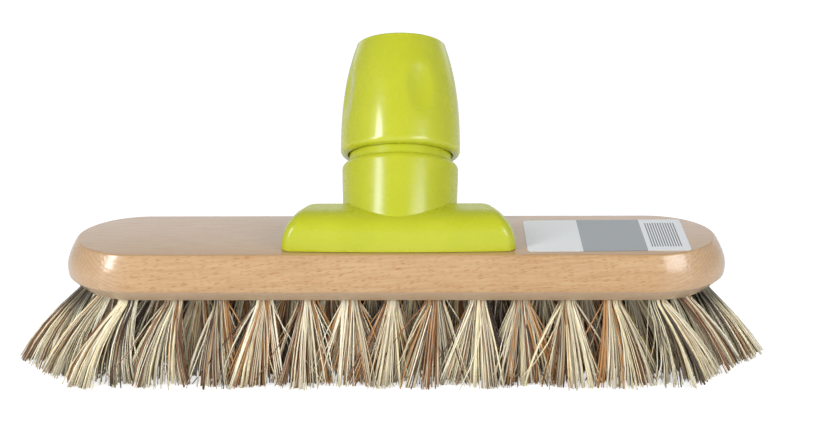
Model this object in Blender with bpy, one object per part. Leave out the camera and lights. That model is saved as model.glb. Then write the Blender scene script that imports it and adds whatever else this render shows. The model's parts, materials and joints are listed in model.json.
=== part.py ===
"""Deck brush head: a beech block set with bristle tufts, and a leaning plastic socket with a screw clamp.

Lengths are in metres and +Z is up. +X runs along the block and +Y points to the side that the socket
leans to. The origin lies on the working plane, where the bristle tips stand, under the block's middle.
Along the socket's own axis, heights are measured from the block's top face.
"""

import math
import random

import bmesh
import bpy
from mathutils import Matrix, Vector

# Gap between pieces that touch
SEAT_GAP = 0.0003

# Beech block
BLOCK_LENGTH = 0.2794
BLOCK_WIDTH = 0.0604
BLOCK_THICKNESS = 0.0200
BLOCK_END_LENGTH = 0.0325
BLOCK_WIDEST_HEIGHT = 0.0085
BLOCK_TOP_INSET = 0.0028
BLOCK_TOP_END_INSET = 0.0043
BLOCK_CHAMFER_HEIGHT = 0.0046
BLOCK_CHAMFER_WIDTH = 0.0033
BLOCK_CHAMFER_END_WIDTH = 0.0058
BLOCK_BELLY_INSET = 0.0004
BLOCK_SIDE_CURVE = 1.6
BLOCK_EDGE_HEIGHT = 0.0007

# Bristle tufts
BRISTLE_REACH = 0.0385
TIP_TRIM = 0.0005
STRAND_LENGTH = 0.0460
STRAND_ROOT_RADIUS = 0.00095
STRAND_TIP_RADIUS = 0.00070
STRAND_BITE = 0.0012
STRANDS_ROUND_TUFT = 5
TUFT_ROOT_RADIUS = 0.0023
TUFT_TIP_RADIUS = 0.0050
TUFT_LEAST_SPLAY = 0.65
TUFT_PITCH = 0.0178
TUFT_EDGE_MARGIN = 0.0068
ROW_COUNT = 5
ROW_PITCH = 0.0100
ROW_SLICE_THICKNESS = 0.0032
ROW_SLICE_END = 0.0040
END_TUFT_LEAN = math.radians(38.0)
END_LEAN_POWER = 5.0
OUTER_ROW_LEAN = math.radians(4.5)
TUFT_SEED = 11

# Anchor wires across the folds of the tufts
ANCHOR_LENGTH = 0.0052
ANCHOR_WIDTH = 0.0005
ANCHOR_HEIGHT = 0.0018
ANCHOR_BITE = 0.0006

# Socket axis
SOCKET_LEAN = math.radians(30.0)
SOCKET_OFFSET_X = 0.0022
SOCKET_OFFSET_Y = 0.0010

# Socket flange
FLANGE_LENGTH = 0.0976
FLANGE_FRONT = 0.0246
FLANGE_BACK = 0.0245
FLANGE_HEIGHT = 0.0139
FLANGE_FRONT_ROUND = 0.0062
FLANGE_REAR_RUN = 0.0256
FLANGE_END_ROUND = 0.0132
FLANGE_FRONT_CORNER = 0.0046
FLANGE_TOP_FRONT_CORNER = 0.0090
FLANGE_BACK_CORNER = 0.0350
FLANGE_TOP_BACK_CORNER = 0.0040
FLANGE_FRONT_BOW = 0.0016
FLANGE_FRONT_POWER = 2.1
FLANGE_REAR_POWER = 1.15
FLANGE_END_POWER = 1.75

# Socket boss, neck and threaded stub
BOSS_BASE_RADIUS = 0.0239
BOSS_TOP_RADIUS = 0.02525
BOSS_TOP_HEIGHT = 0.03065
BOSS_SHOULDER_ROUND = 0.0034
BOSS_FRONT_TRIM = 0.0026
BOSS_SINK = 0.0020
BOSS_FOOT_RISE = 0.0005
STUB_RADIUS = 0.0218
STUB_TOP_HEIGHT = 0.0570
STUB_EDGE_BEVEL = 0.0010

# Handle bore
HANDLE_RADIUS = 0.0140
SOCKET_BORE_CLEARANCE = 0.0005
COLLET_BORE_CLEARANCE = 0.0006
COLLAR_BORE_CLEARANCE = 0.0008
SEAT_HEIGHT = 0.0140

# Clamp collet and its tapered mouth in the stub
MOUTH_DEPTH = 0.0130
MOUTH_STEP = 0.0021
MOUTH_FLARE = 0.0027
TIGHTEN_TRAVEL = 0.0025
COLLET_END_CLEARANCE = 0.0005
COLLET_WAIST_RADIUS = 0.0182
COLLET_HEAD_RADIUS = 0.0191
COLLET_HEAD_THICKNESS = 0.0037
COLLET_SLOT_COUNT = 6
COLLET_SLOT_WIDTH = 0.0016
COLLET_RUNNING_GAP = 0.0004

# Screw collar
COLLAR_BOTTOM_HEIGHT = 0.0339
COLLAR_TOP_HEIGHT = 0.0837
COLLAR_BOTTOM_RADIUS = 0.0256
COLLAR_TOP_RADIUS = 0.0189
COLLAR_TAPER_POWER = 2.7
COLLAR_BOTTOM_ROUND = 0.0024
COLLAR_TOP_ROUND = 0.0013
COLLAR_THREAD_CLEARANCE = 0.0006
COLLAR_LIP_THICKNESS = 0.0018
COLLAR_LEAD_IN = 0.0007
DIMPLE_COUNT = 4
DIMPLE_TURN = math.radians(22.0)
DIMPLE_HEIGHT = 0.0584
DIMPLE_HALF_LENGTH = 0.0142
DIMPLE_HALF_WIDTH = 0.0078
DIMPLE_HALF_DEPTH = 0.0028
DIMPLE_DEPTH = 0.0015
DIMPLE_TILT = math.radians(7.0)

# Flange screws, which pass between the tufts
SCREW_FRONT_PITCHES = 2
SCREW_REAR_PITCHES = 1
SCREW_HEAD_RADIUS = 0.00375
SCREW_HEAD_RIM = 0.0005
SCREW_SHANK_RADIUS = 0.0018
SCREW_POINT_LENGTH = 0.0030
SCREW_POINT_RADIUS = 0.0005
SCREW_BITE = 0.0070
SCREW_SINK = 0.0080

# Sticker on the block's top
LABEL_LENGTH = 0.0675
LABEL_WIDTH = 0.0420
LABEL_THICKNESS = 0.0003
LABEL_CORNER = 0.0020
LABEL_CENTRE_X = 0.0890
LABEL_CENTRE_Y = -0.0015
LABEL_TURN = math.radians(1.2)

# Facets
ARC_STEPS = 6
EDGE_STEPS = 3
EASE_STEPS = 3
END_STEPS = 20
ROUND_STEPS = 44
HOLE_STEPS = 14
DIMPLE_STEPS = 20
BELLY_LEVELS = 2
SIDE_LEVELS = 4
FLANGE_LEVELS = 9
COLLAR_LEVELS = 10
CUT_PAST = 0.0020
SMOOTH_ANGLE = math.radians(35.0)

# Places worked out from the sizes
UNDERSIDE_Z = BRISTLE_REACH
BLOCK_TOP_Z = UNDERSIDE_Z + BLOCK_THICKNESS
FLANGE_BOTTOM_Z = BLOCK_TOP_Z + SEAT_GAP
SOCKET_ORIGIN = Vector((SOCKET_OFFSET_X, SOCKET_OFFSET_Y, BLOCK_TOP_Z))
SOCKET_FRAME = Matrix.Translation(SOCKET_ORIGIN) @ Matrix.Rotation(-SOCKET_LEAN, 4, "X")
SOCKET_BORE_RADIUS = HANDLE_RADIUS + SOCKET_BORE_CLEARANCE
COLLET_BORE_RADIUS = HANDLE_RADIUS + COLLET_BORE_CLEARANCE
COLLAR_BORE_RADIUS = HANDLE_RADIUS + COLLAR_BORE_CLEARANCE
MOUTH_BOTTOM_HEIGHT = STUB_TOP_HEIGHT - MOUTH_DEPTH
MOUTH_BOTTOM_RADIUS = SOCKET_BORE_RADIUS + MOUTH_STEP
MOUTH_SLOPE = MOUTH_FLARE / MOUTH_DEPTH
COLLET_CONE_GAP = SEAT_GAP + TIGHTEN_TRAVEL * MOUTH_SLOPE
COLLET_BOTTOM_HEIGHT = MOUTH_BOTTOM_HEIGHT + TIGHTEN_TRAVEL + COLLET_END_CLEARANCE
COLLAR_THREAD_RADIUS = STUB_RADIUS + COLLAR_THREAD_CLEARANCE
COLLAR_THREAD_TOP = STUB_TOP_HEIGHT + TIGHTEN_TRAVEL + COLLET_END_CLEARANCE
COLLAR_LIP_TOP = COLLAR_THREAD_TOP + COLLAR_LIP_THICKNESS
COLLET_HEAD_BOTTOM = COLLAR_LIP_TOP + SEAT_GAP
COLLET_TOP_HEIGHT = COLLET_HEAD_BOTTOM + COLLET_HEAD_THICKNESS
COLLAR_SHOULDER_HEIGHT = COLLET_TOP_HEIGHT + SEAT_GAP
SCREW_HOLE_RADIUS = SCREW_SHANK_RADIUS + SEAT_GAP
SCREW_COUNTERBORE_RADIUS = SCREW_HEAD_RADIUS + SEAT_GAP


def clear_scene():
    for thing in list(bpy.data.objects):
        bpy.data.objects.remove(thing, do_unlink=True)


def make_material(name, colour, roughness, metallic=0.0):
    material = bpy.data.materials.new(name)
    material.use_nodes = True
    shader = material.node_tree.nodes["Principled BSDF"]
    shader.inputs["Base Color"].default_value = (*colour, 1.0)
    shader.inputs["Roughness"].default_value = roughness
    shader.inputs["Metallic"].default_value = metallic
    return material


def make_object(name, bm, material=None, smooth=True):
    bmesh.ops.recalc_face_normals(bm, faces=bm.faces)
    mesh = bpy.data.meshes.new(name)
    bm.to_mesh(mesh)
    bm.free()
    if smooth:
        mesh.shade_smooth()
        mesh.set_sharp_from_angle(angle=SMOOTH_ANGLE)
    if material:
        mesh.materials.append(material)
    thing = bpy.data.objects.new(name, mesh)
    bpy.context.scene.collection.objects.link(thing)
    return thing


def make_cutter(name, bm):
    cutter = make_object(name, bm, smooth=False)
    cutter.hide_render = True
    cutter.display_type = "WIRE"
    return cutter


def combine(thing, other, operation):
    boolean = thing.modifiers.new(f"{operation.lower()}_{other.name}", "BOOLEAN")
    boolean.operation = operation
    boolean.solver = "EXACT"
    boolean.object = other


def add_loft(bm, rings):
    """Skin a stack of equal rings of points, and cap both ends."""
    loops = [[bm.verts.new(point) for point in ring] for ring in rings]
    count = len(rings[0])
    for lower, upper in zip(loops, loops[1:]):
        for i in range(count):
            j = (i + 1) % count
            bm.faces.new((lower[i], lower[j], upper[j], upper[i]))
    bm.faces.new(loops[0])
    bm.faces.new(loops[-1])


def revolve(bm, profile, steps):
    """Turn a closed profile of (radius, height) points about Z into a closed solid."""
    verts = [bm.verts.new((radius, 0.0, height)) for radius, height in profile]
    edges = [bm.edges.new((verts[i], verts[(i + 1) % len(verts)])) for i in range(len(verts))]
    bmesh.ops.spin(
        bm, geom=verts + edges, cent=(0, 0, 0), axis=(0, 0, 1), dvec=(0, 0, 0),
        angle=math.tau, steps=steps, use_merge=True, use_duplicate=False,
    )
    on_axis = [vert for vert in bm.verts if math.hypot(vert.co.x, vert.co.y) < 1e-6]
    bmesh.ops.remove_doubles(bm, verts=on_axis, dist=1e-5)
    collapsed = [edge for edge in bm.edges if not edge.link_faces]
    bmesh.ops.delete(bm, geom=collapsed, context="EDGES")


def arc(centre_radius, centre_height, radius, start_deg, end_deg, steps=ARC_STEPS):
    """Points of a profile's round corner, as (radius, height)."""
    points = []
    for i in range(steps + 1):
        angle = math.radians(start_deg + (end_deg - start_deg) * i / steps)
        points.append((centre_radius + radius * math.cos(angle), centre_height + radius * math.sin(angle)))
    return points


def add_box(bm, size, matrix):
    bmesh.ops.create_cube(bm, size=1.0, matrix=matrix @ Matrix.Diagonal((*size, 1.0)))


def add_solid(bm, other):
    """Pour another solid into this one, and free it."""
    bmesh.ops.recalc_face_normals(other, faces=other.faces)
    mesh = bpy.data.meshes.new("poured")
    other.to_mesh(mesh)
    other.free()
    bm.from_mesh(mesh)
    bpy.data.meshes.remove(mesh)


def cut_flat(bm, point, normal):
    """Cut away what lies on the normal's side of a plane, and close the cut."""
    geometry = bm.verts[:] + bm.edges[:] + bm.faces[:]
    bmesh.ops.bisect_plane(bm, geom=geometry, plane_co=point, plane_no=normal, clear_outer=True)
    open_edges = [edge for edge in bm.edges if edge.is_boundary]
    bmesh.ops.edgeloop_fill(bm, edges=open_edges)


def oblong(half_length, half_width, end_length, z):
    """A ring with straight sides and half-elliptical ends."""
    points = []
    for side, start in ((1, -90.0), (-1, 90.0)):
        for i in range(END_STEPS + 1):
            angle = math.radians(start + 180.0 * i / END_STEPS)
            x = side * (half_length - end_length) + end_length * math.cos(angle)
            points.append((x, half_width * math.sin(angle), z))
    return points


def block_ring(height, width_inset, end_inset):
    return oblong(
        BLOCK_LENGTH / 2 - end_inset,
        BLOCK_WIDTH / 2 - width_inset,
        BLOCK_END_LENGTH - end_inset,
        UNDERSIDE_Z + height,
    )


def eased_inset(inset, share):
    """Further inset of the rounded top edge at a share of its height, starting in line with the side."""
    side_height = BLOCK_THICKNESS - BLOCK_EDGE_HEIGHT - BLOCK_WIDEST_HEIGHT
    lean = math.atan(BLOCK_SIDE_CURVE * inset / side_height)
    radius = BLOCK_EDGE_HEIGHT / (1.0 - math.sin(lean))
    angle = math.asin(math.sin(lean) + (1.0 - math.sin(lean)) * share)
    return radius * (math.cos(lean) - math.cos(angle))


def block_rings():
    """Levels of the block from its underside up: chamfer, belly, rising side and eased top edge."""
    chamfer_width = BLOCK_CHAMFER_WIDTH + BLOCK_BELLY_INSET
    chamfer_end = BLOCK_CHAMFER_END_WIDTH + BLOCK_BELLY_INSET
    rings = [block_ring(0.0, chamfer_width, chamfer_end)]
    for i in range(BELLY_LEVELS + 1):
        share = i / BELLY_LEVELS
        inset = BLOCK_BELLY_INSET * (1.0 - share) ** 2
        height = BLOCK_CHAMFER_HEIGHT + (BLOCK_WIDEST_HEIGHT - BLOCK_CHAMFER_HEIGHT) * share
        rings.append(block_ring(height, inset, inset))
    side_top = BLOCK_THICKNESS - BLOCK_EDGE_HEIGHT
    for i in range(1, SIDE_LEVELS + 1):
        share = i / SIDE_LEVELS
        drawn_in = share**BLOCK_SIDE_CURVE
        height = BLOCK_WIDEST_HEIGHT + (side_top - BLOCK_WIDEST_HEIGHT) * share
        rings.append(block_ring(height, BLOCK_TOP_INSET * drawn_in, BLOCK_TOP_END_INSET * drawn_in))
    for i in range(1, EASE_STEPS + 1):
        share = math.sin(math.pi / 2 * i / EASE_STEPS)
        side = BLOCK_TOP_INSET + eased_inset(BLOCK_TOP_INSET, share)
        end = BLOCK_TOP_END_INSET + eased_inset(BLOCK_TOP_END_INSET, share)
        rings.append(block_ring(side_top + BLOCK_EDGE_HEIGHT * share, side, end))
    return rings


def underside_half_length(y):
    """Half length of the block's underside at a distance y from its middle line."""
    half_width = BLOCK_WIDTH / 2 - BLOCK_CHAMFER_WIDTH - BLOCK_BELLY_INSET
    end = BLOCK_END_LENGTH - BLOCK_CHAMFER_END_WIDTH - BLOCK_BELLY_INSET
    straight = BLOCK_LENGTH / 2 - BLOCK_END_LENGTH
    return straight + end * math.sqrt(max(0.0, 1.0 - (y / half_width) ** 2))


def row_y(row):
    return (row - (ROW_COUNT - 1) / 2) * ROW_PITCH


def tuft_places(row):
    """X of each tuft in a row. Every other row is shifted by half a pitch."""
    outer_edge = abs(row_y(row)) + ROW_PITCH / 2
    half = underside_half_length(outer_edge) - TUFT_EDGE_MARGIN
    shift = 0.5 if row % 2 else 0.0
    pairs = math.floor(half / TUFT_PITCH - shift)
    if row % 2:
        return [(i + 0.5) * TUFT_PITCH for i in range(-pairs - 1, pairs + 1)]
    return [i * TUFT_PITCH for i in range(-pairs, pairs + 1)]


def slice_half_length(row):
    return tuft_places(row)[-1] + ROW_SLICE_END


def screw_places():
    """Two places under the flange's front and two, closer together, under its narrower rear."""
    front = SCREW_FRONT_PITCHES * TUFT_PITCH
    rear = SCREW_REAR_PITCHES * TUFT_PITCH
    return [(-front, -ROW_PITCH), (front, -ROW_PITCH), (-rear, ROW_PITCH), (rear, ROW_PITCH)]


def screw_hole_profile():
    """Counterbore, conical seat and shank hole of a flange screw, from below the block up."""
    seat = UNDERSIDE_Z + SCREW_SINK
    cone = SCREW_COUNTERBORE_RADIUS - SCREW_HOLE_RADIUS
    return [
        (0.0, UNDERSIDE_Z - CUT_PAST),
        (SCREW_COUNTERBORE_RADIUS, UNDERSIDE_Z - CUT_PAST),
        (SCREW_COUNTERBORE_RADIUS, seat),
        (SCREW_HOLE_RADIUS, seat + cone),
        (SCREW_HOLE_RADIUS, FLANGE_BOTTOM_Z + SCREW_BITE + SEAT_GAP),
        (0.0, FLANGE_BOTTOM_Z + SCREW_BITE + SEAT_GAP),
    ]


def screw_holes_cutter():
    bm = bmesh.new()
    for x, y in screw_places():
        hole = bmesh.new()
        revolve(hole, screw_hole_profile(), HOLE_STEPS)
        hole.transform(Matrix.Translation((x, y, 0.0)))
        add_solid(bm, hole)
    return make_cutter("screw_holes_cutter", bm)


def slices_cutter():
    """The stepped recess in the underside that takes the slices of the rows."""
    bm = bmesh.new()
    depth = ROW_SLICE_THICKNESS + SEAT_GAP
    low = UNDERSIDE_Z - CUT_PAST
    high = UNDERSIDE_Z + depth
    outline = []
    for row in range(ROW_COUNT):
        half = slice_half_length(row) + SEAT_GAP
        edge = SEAT_GAP / 2
        front = row_y(row) - ROW_PITCH / 2 - (edge if row == 0 else 0.0)
        back = row_y(row) + ROW_PITCH / 2 + (edge if row == ROW_COUNT - 1 else 0.0)
        outline += [(half, front), (half, back)]
    outline += [(-x, y) for x, y in reversed(outline)]
    add_loft(bm, [[(x, y, low) for x, y in outline], [(x, y, high) for x, y in outline]])
    return make_cutter("slices_cutter", bm)


def add_anchor(bm, x, y, gap):
    """The wire across a tuft's fold, which rises from its row's slice, or with a gap the slot for it."""
    low = UNDERSIDE_Z + ROW_SLICE_THICKNESS - ANCHOR_BITE
    high = UNDERSIDE_Z + ROW_SLICE_THICKNESS + ANCHOR_HEIGHT + gap
    size = (ANCHOR_LENGTH + 2 * gap, ANCHOR_WIDTH + 2 * gap, high - low)
    add_box(bm, size, Matrix.Translation((x, y, (low + high) / 2)))


def anchor_slots_cutter():
    bm = bmesh.new()
    for row in range(ROW_COUNT):
        for x in tuft_places(row):
            add_anchor(bm, x, row_y(row), SEAT_GAP)
    return make_cutter("anchor_slots_cutter", bm)


def build_block(material, screw_holes):
    bm = bmesh.new()
    add_loft(bm, block_rings())
    block = make_object("wood_block", bm, material)
    combine(block, slices_cutter(), "DIFFERENCE")
    combine(block, anchor_slots_cutter(), "DIFFERENCE")
    combine(block, screw_holes, "DIFFERENCE")
    return block


def add_strand(bm, root, slope, turn):
    """One three-sided strand, cut flat at the working plane where it reaches that far."""
    direction = Vector((*slope, -1.0))
    reach = UNDERSIDE_Z + TIP_TRIM
    drop = min(reach, STRAND_LENGTH / direction.length)
    start = Vector((*root, UNDERSIDE_Z)) - direction * STRAND_BITE
    end = Vector((*root, UNDERSIDE_Z)) + direction * drop
    rings = []
    for centre, radius in ((start, STRAND_ROOT_RADIUS), (end, STRAND_TIP_RADIUS)):
        angles = [turn + math.tau * i / 3 for i in range(3)]
        rings.append([centre + Vector((radius * math.cos(a), radius * math.sin(a), 0)) for a in angles])
    strand = bmesh.new()
    add_loft(strand, rings)
    if end.z < 0.0:
        cut_flat(strand, (0, 0, 0), (0, 0, -1))
    add_solid(bm, strand)


def add_tuft(bm, x, y, chance):
    """A strand down the tuft's middle and a ring of strands that spreads towards the tips."""
    last = tuft_places(ROW_COUNT // 2)[-1]
    lean_x = math.copysign(END_TUFT_LEAN * min(1.0, abs(x) / last) ** END_LEAN_POWER, x)
    lean_y = OUTER_ROW_LEAN * y / row_y(ROW_COUNT - 1)
    slope = (math.tan(lean_x), math.tan(lean_y))
    add_strand(bm, (x, y), slope, math.pi / 6)
    spread = (TUFT_TIP_RADIUS - TUFT_ROOT_RADIUS) / BRISTLE_REACH
    start = chance.uniform(0.0, math.tau)
    for i in range(STRANDS_ROUND_TUFT):
        angle = start + math.tau * i / STRANDS_ROUND_TUFT
        out = (math.cos(angle), math.sin(angle))
        splay = spread * chance.uniform(TUFT_LEAST_SPLAY, 1.0)
        root = (x + TUFT_ROOT_RADIUS * out[0], y + TUFT_ROOT_RADIUS * out[1])
        add_strand(bm, root, (slope[0] + splay * out[0], slope[1] + splay * out[1]), angle)


def build_bristle_row(row, material, screw_holes):
    """A row of tufts and their anchor wires, fused to the slice of wood that holds them."""
    y = row_y(row)
    chance = random.Random(TUFT_SEED + row)
    bm = bmesh.new()
    size = (2 * slice_half_length(row), ROW_PITCH - SEAT_GAP, ROW_SLICE_THICKNESS)
    add_box(bm, size, Matrix.Translation((0, y, UNDERSIDE_Z + ROW_SLICE_THICKNESS / 2)))
    slice_object = make_object(f"bristle_row_{row + 1}", bm, material, smooth=False)
    tufts = bmesh.new()
    for x in tuft_places(row):
        add_tuft(tufts, x, y, chance)
        add_anchor(tufts, x, y, 0.0)
    combine(slice_object, make_cutter(f"tufts_{row + 1}", tufts), "UNION")
    if any(abs(abs(y) - place[1]) < ROW_PITCH / 2 for place in screw_places()):
        combine(slice_object, screw_holes, "DIFFERENCE")
    return slice_object


def swell(share, power):
    """Reach of a superellipse of size 1 at a share of its height."""
    return (1.0 - share**power) ** (1.0 / power)


def flange_ring(share):
    """Outline of the flange at a share of its height, with front, ends and rear each drawn in its own way."""
    half = FLANGE_LENGTH / 2 - FLANGE_END_ROUND * (1.0 - swell(share, FLANGE_END_POWER))
    front = FLANGE_FRONT_ROUND * (1.0 - swell(share, FLANGE_FRONT_POWER)) - FLANGE_FRONT
    back = FLANGE_BACK - FLANGE_REAR_RUN * (1.0 - swell(share, FLANGE_REAR_POWER))
    depth = back - front
    front_corner = FLANGE_FRONT_CORNER + (FLANGE_TOP_FRONT_CORNER - FLANGE_FRONT_CORNER) * share
    back_corner = FLANGE_BACK_CORNER + (FLANGE_TOP_BACK_CORNER - FLANGE_BACK_CORNER) * share
    shrink = min(1.0, 0.99 * depth / (front_corner + back_corner))
    front_corner *= shrink
    back_corner *= shrink
    corners = (
        (half - front_corner, front + front_corner, front_corner, -90.0),
        (half - back_corner, back - back_corner, back_corner, 0.0),
        (back_corner - half, back - back_corner, back_corner, 90.0),
        (front_corner - half, front + front_corner, front_corner, 180.0),
    )
    outline = []
    for centre_x, centre_y, radius, start in corners:
        for i in range(ARC_STEPS + 1):
            angle = math.radians(start + 90.0 * i / ARC_STEPS)
            outline.append((centre_x + radius * math.cos(angle), centre_y + radius * math.sin(angle)))
    last, first = outline[-1], outline[0]
    for i in range(1, ARC_STEPS):
        outline.append((last[0] + (first[0] - last[0]) * i / ARC_STEPS, front))
    bow = FLANGE_FRONT_BOW * (1.0 - share)
    z = FLANGE_BOTTOM_Z + FLANGE_HEIGHT * share
    middle = (front + back) / 2
    ring = []
    for x, y in outline:
        bowed = y + bow * (x / half) ** 2 if y < middle else y
        ring.append((SOCKET_OFFSET_X + x, bowed, z))
    return ring


def boss_radius(height):
    share = height / BOSS_TOP_HEIGHT
    return BOSS_BASE_RADIUS + (BOSS_TOP_RADIUS - BOSS_BASE_RADIUS) * share


def socket_tube():
    """The boss, neck and stub as one turned solid, trimmed where it stands in the flange."""
    shoulder = BOSS_TOP_HEIGHT - BOSS_SHOULDER_ROUND
    foot = -(BOSS_BASE_RADIUS * math.sin(SOCKET_LEAN) + FLANGE_HEIGHT / 4) / math.cos(SOCKET_LEAN)
    profile = [(0.0, foot), (boss_radius(foot), foot)]
    round_centre = boss_radius(shoulder) - BOSS_SHOULDER_ROUND
    profile += arc(round_centre, shoulder, BOSS_SHOULDER_ROUND, 0.0, 90.0)
    profile += [
        (STUB_RADIUS, BOSS_TOP_HEIGHT),
        (STUB_RADIUS, STUB_TOP_HEIGHT - STUB_EDGE_BEVEL),
        (STUB_RADIUS - STUB_EDGE_BEVEL, STUB_TOP_HEIGHT),
        (0.0, STUB_TOP_HEIGHT),
    ]
    bm = bmesh.new()
    revolve(bm, profile, ROUND_STEPS)
    bm.transform(SOCKET_FRAME)
    foot_z = FLANGE_BOTTOM_Z + BOSS_FOOT_RISE
    cut_flat(bm, (0.0, 0.0, foot_z), (0.0, 0.0, -1.0))
    cut_flat(bm, (0.0, BOSS_FRONT_TRIM - FLANGE_FRONT, 0.0), (0.0, -1.0, 0.0))
    cut_flat(bm, (0.0, FLANGE_BACK - BOSS_SINK, foot_z), (0.0, 1.0, -1.0))
    return make_cutter("socket_tube", bm)


def handle_bore_cutter():
    """The handle's bore down to its seat, and the tapered mouth that takes the collet."""
    past = STUB_TOP_HEIGHT + CUT_PAST
    past_radius = MOUTH_BOTTOM_RADIUS + MOUTH_SLOPE * (past - MOUTH_BOTTOM_HEIGHT)
    profile = [
        (0.0, SEAT_HEIGHT),
        (SOCKET_BORE_RADIUS, SEAT_HEIGHT),
        (SOCKET_BORE_RADIUS, MOUTH_BOTTOM_HEIGHT),
        (MOUTH_BOTTOM_RADIUS, MOUTH_BOTTOM_HEIGHT),
        (past_radius, past),
        (0.0, past),
    ]
    bm = bmesh.new()
    revolve(bm, profile, ROUND_STEPS)
    bm.transform(SOCKET_FRAME)
    return make_cutter("handle_bore_cutter", bm)


def build_socket(material, screw_holes):
    bm = bmesh.new()
    shares = [math.sin(math.pi / 2 * i / FLANGE_LEVELS) for i in range(FLANGE_LEVELS + 1)]
    add_loft(bm, [flange_ring(share) for share in shares])
    socket = make_object("socket_base", bm, material)
    combine(socket, socket_tube(), "UNION")
    combine(socket, handle_bore_cutter(), "DIFFERENCE")
    combine(socket, screw_holes, "DIFFERENCE")
    return socket


def build_collet(material, axis_empty):
    """The slotted clamp ring: a tapered waist for the mouth and a head that the collar carries."""
    raised = COLLET_BOTTOM_HEIGHT - MOUTH_BOTTOM_HEIGHT
    bottom_radius = MOUTH_BOTTOM_RADIUS + MOUTH_SLOPE * raised - COLLET_CONE_GAP
    cone_height = (COLLET_WAIST_RADIUS - bottom_radius) / MOUTH_SLOPE
    profile = [
        (COLLET_BORE_RADIUS, COLLET_BOTTOM_HEIGHT),
        (bottom_radius, COLLET_BOTTOM_HEIGHT),
        (COLLET_WAIST_RADIUS, COLLET_BOTTOM_HEIGHT + cone_height),
        (COLLET_WAIST_RADIUS, COLLET_HEAD_BOTTOM),
        (COLLET_HEAD_RADIUS, COLLET_HEAD_BOTTOM),
        (COLLET_HEAD_RADIUS, COLLET_TOP_HEIGHT),
        (COLLET_BORE_RADIUS, COLLET_TOP_HEIGHT),
    ]
    bm = bmesh.new()
    revolve(bm, profile, ROUND_STEPS)
    collet = make_object("clamp_collet", bm, material)
    collet.parent = axis_empty
    slots = bmesh.new()
    reach = COLLET_HEAD_RADIUS - COLLET_BORE_RADIUS + 2 * CUT_PAST
    length = COLLAR_THREAD_TOP - COLLET_BOTTOM_HEIGHT + CUT_PAST
    mid_radius = (COLLET_HEAD_RADIUS + COLLET_BORE_RADIUS) / 2
    middle = Matrix.Translation((mid_radius, 0, COLLAR_THREAD_TOP - length / 2))
    for i in range(COLLET_SLOT_COUNT):
        turn = Matrix.Rotation(math.tau * (i + 0.5) / COLLET_SLOT_COUNT, 4, "Z")
        add_box(slots, (reach, COLLET_SLOT_WIDTH, length), turn @ middle)
    cutter = make_cutter("collet_slots_cutter", slots)
    cutter.parent = axis_empty
    combine(collet, cutter, "DIFFERENCE")
    return collet


def collar_radius(height):
    share = (height - COLLAR_BOTTOM_HEIGHT) / (COLLAR_TOP_HEIGHT - COLLAR_BOTTOM_HEIGHT)
    return COLLAR_BOTTOM_RADIUS - (COLLAR_BOTTOM_RADIUS - COLLAR_TOP_RADIUS) * share**COLLAR_TAPER_POWER


def collar_profile():
    bottom_round = COLLAR_BOTTOM_HEIGHT + COLLAR_BOTTOM_ROUND
    top_round = COLLAR_TOP_HEIGHT - COLLAR_TOP_ROUND
    profile = [(COLLAR_THREAD_RADIUS, COLLAR_BOTTOM_HEIGHT)]
    bottom_centre = collar_radius(bottom_round) - COLLAR_BOTTOM_ROUND
    profile += arc(bottom_centre, bottom_round, COLLAR_BOTTOM_ROUND, -90.0, 0.0, EDGE_STEPS)
    for i in range(1, COLLAR_LEVELS):
        height = bottom_round + (top_round - bottom_round) * i / COLLAR_LEVELS
        profile.append((collar_radius(height), height))
    top_centre = collar_radius(top_round) - COLLAR_TOP_ROUND
    profile += arc(top_centre, top_round, COLLAR_TOP_ROUND, 0.0, 90.0, EDGE_STEPS)
    groove_radius = COLLET_HEAD_RADIUS + COLLET_RUNNING_GAP
    profile += [
        (COLLAR_BORE_RADIUS + COLLAR_LEAD_IN, COLLAR_TOP_HEIGHT),
        (COLLAR_BORE_RADIUS, COLLAR_TOP_HEIGHT - COLLAR_LEAD_IN),
        (COLLAR_BORE_RADIUS, COLLAR_SHOULDER_HEIGHT),
        (groove_radius, COLLAR_SHOULDER_HEIGHT),
        (groove_radius, COLLAR_LIP_TOP),
        (COLLET_WAIST_RADIUS + SEAT_GAP, COLLAR_LIP_TOP),
        (COLLET_WAIST_RADIUS + SEAT_GAP, COLLAR_THREAD_TOP),
        (COLLAR_THREAD_RADIUS, COLLAR_THREAD_TOP),
    ]
    return profile


def build_collar(material, axis_empty):
    bm = bmesh.new()
    revolve(bm, collar_profile(), ROUND_STEPS)
    collar = make_object("screw_collar", bm, material)
    collar.parent = axis_empty
    dimples = bmesh.new()
    centre_radius = collar_radius(DIMPLE_HEIGHT) - DIMPLE_DEPTH + DIMPLE_HALF_DEPTH
    size = Matrix.Diagonal((DIMPLE_HALF_DEPTH, DIMPLE_HALF_WIDTH, DIMPLE_HALF_LENGTH, 1.0))
    place = Matrix.Translation((centre_radius, 0.0, DIMPLE_HEIGHT))
    tilted = place @ Matrix.Rotation(-DIMPLE_TILT, 4, "Y") @ size
    for i in range(DIMPLE_COUNT):
        turn = Matrix.Rotation(math.tau * i / DIMPLE_COUNT - math.pi / 2 + DIMPLE_TURN, 4, "Z")
        bmesh.ops.create_uvsphere(
            dimples, u_segments=DIMPLE_STEPS, v_segments=DIMPLE_STEPS // 2, radius=1.0, matrix=turn @ tilted
        )
    cutter = make_cutter("dimples_cutter", dimples)
    cutter.parent = axis_empty
    combine(collar, cutter, "DIFFERENCE")
    return collar


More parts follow.
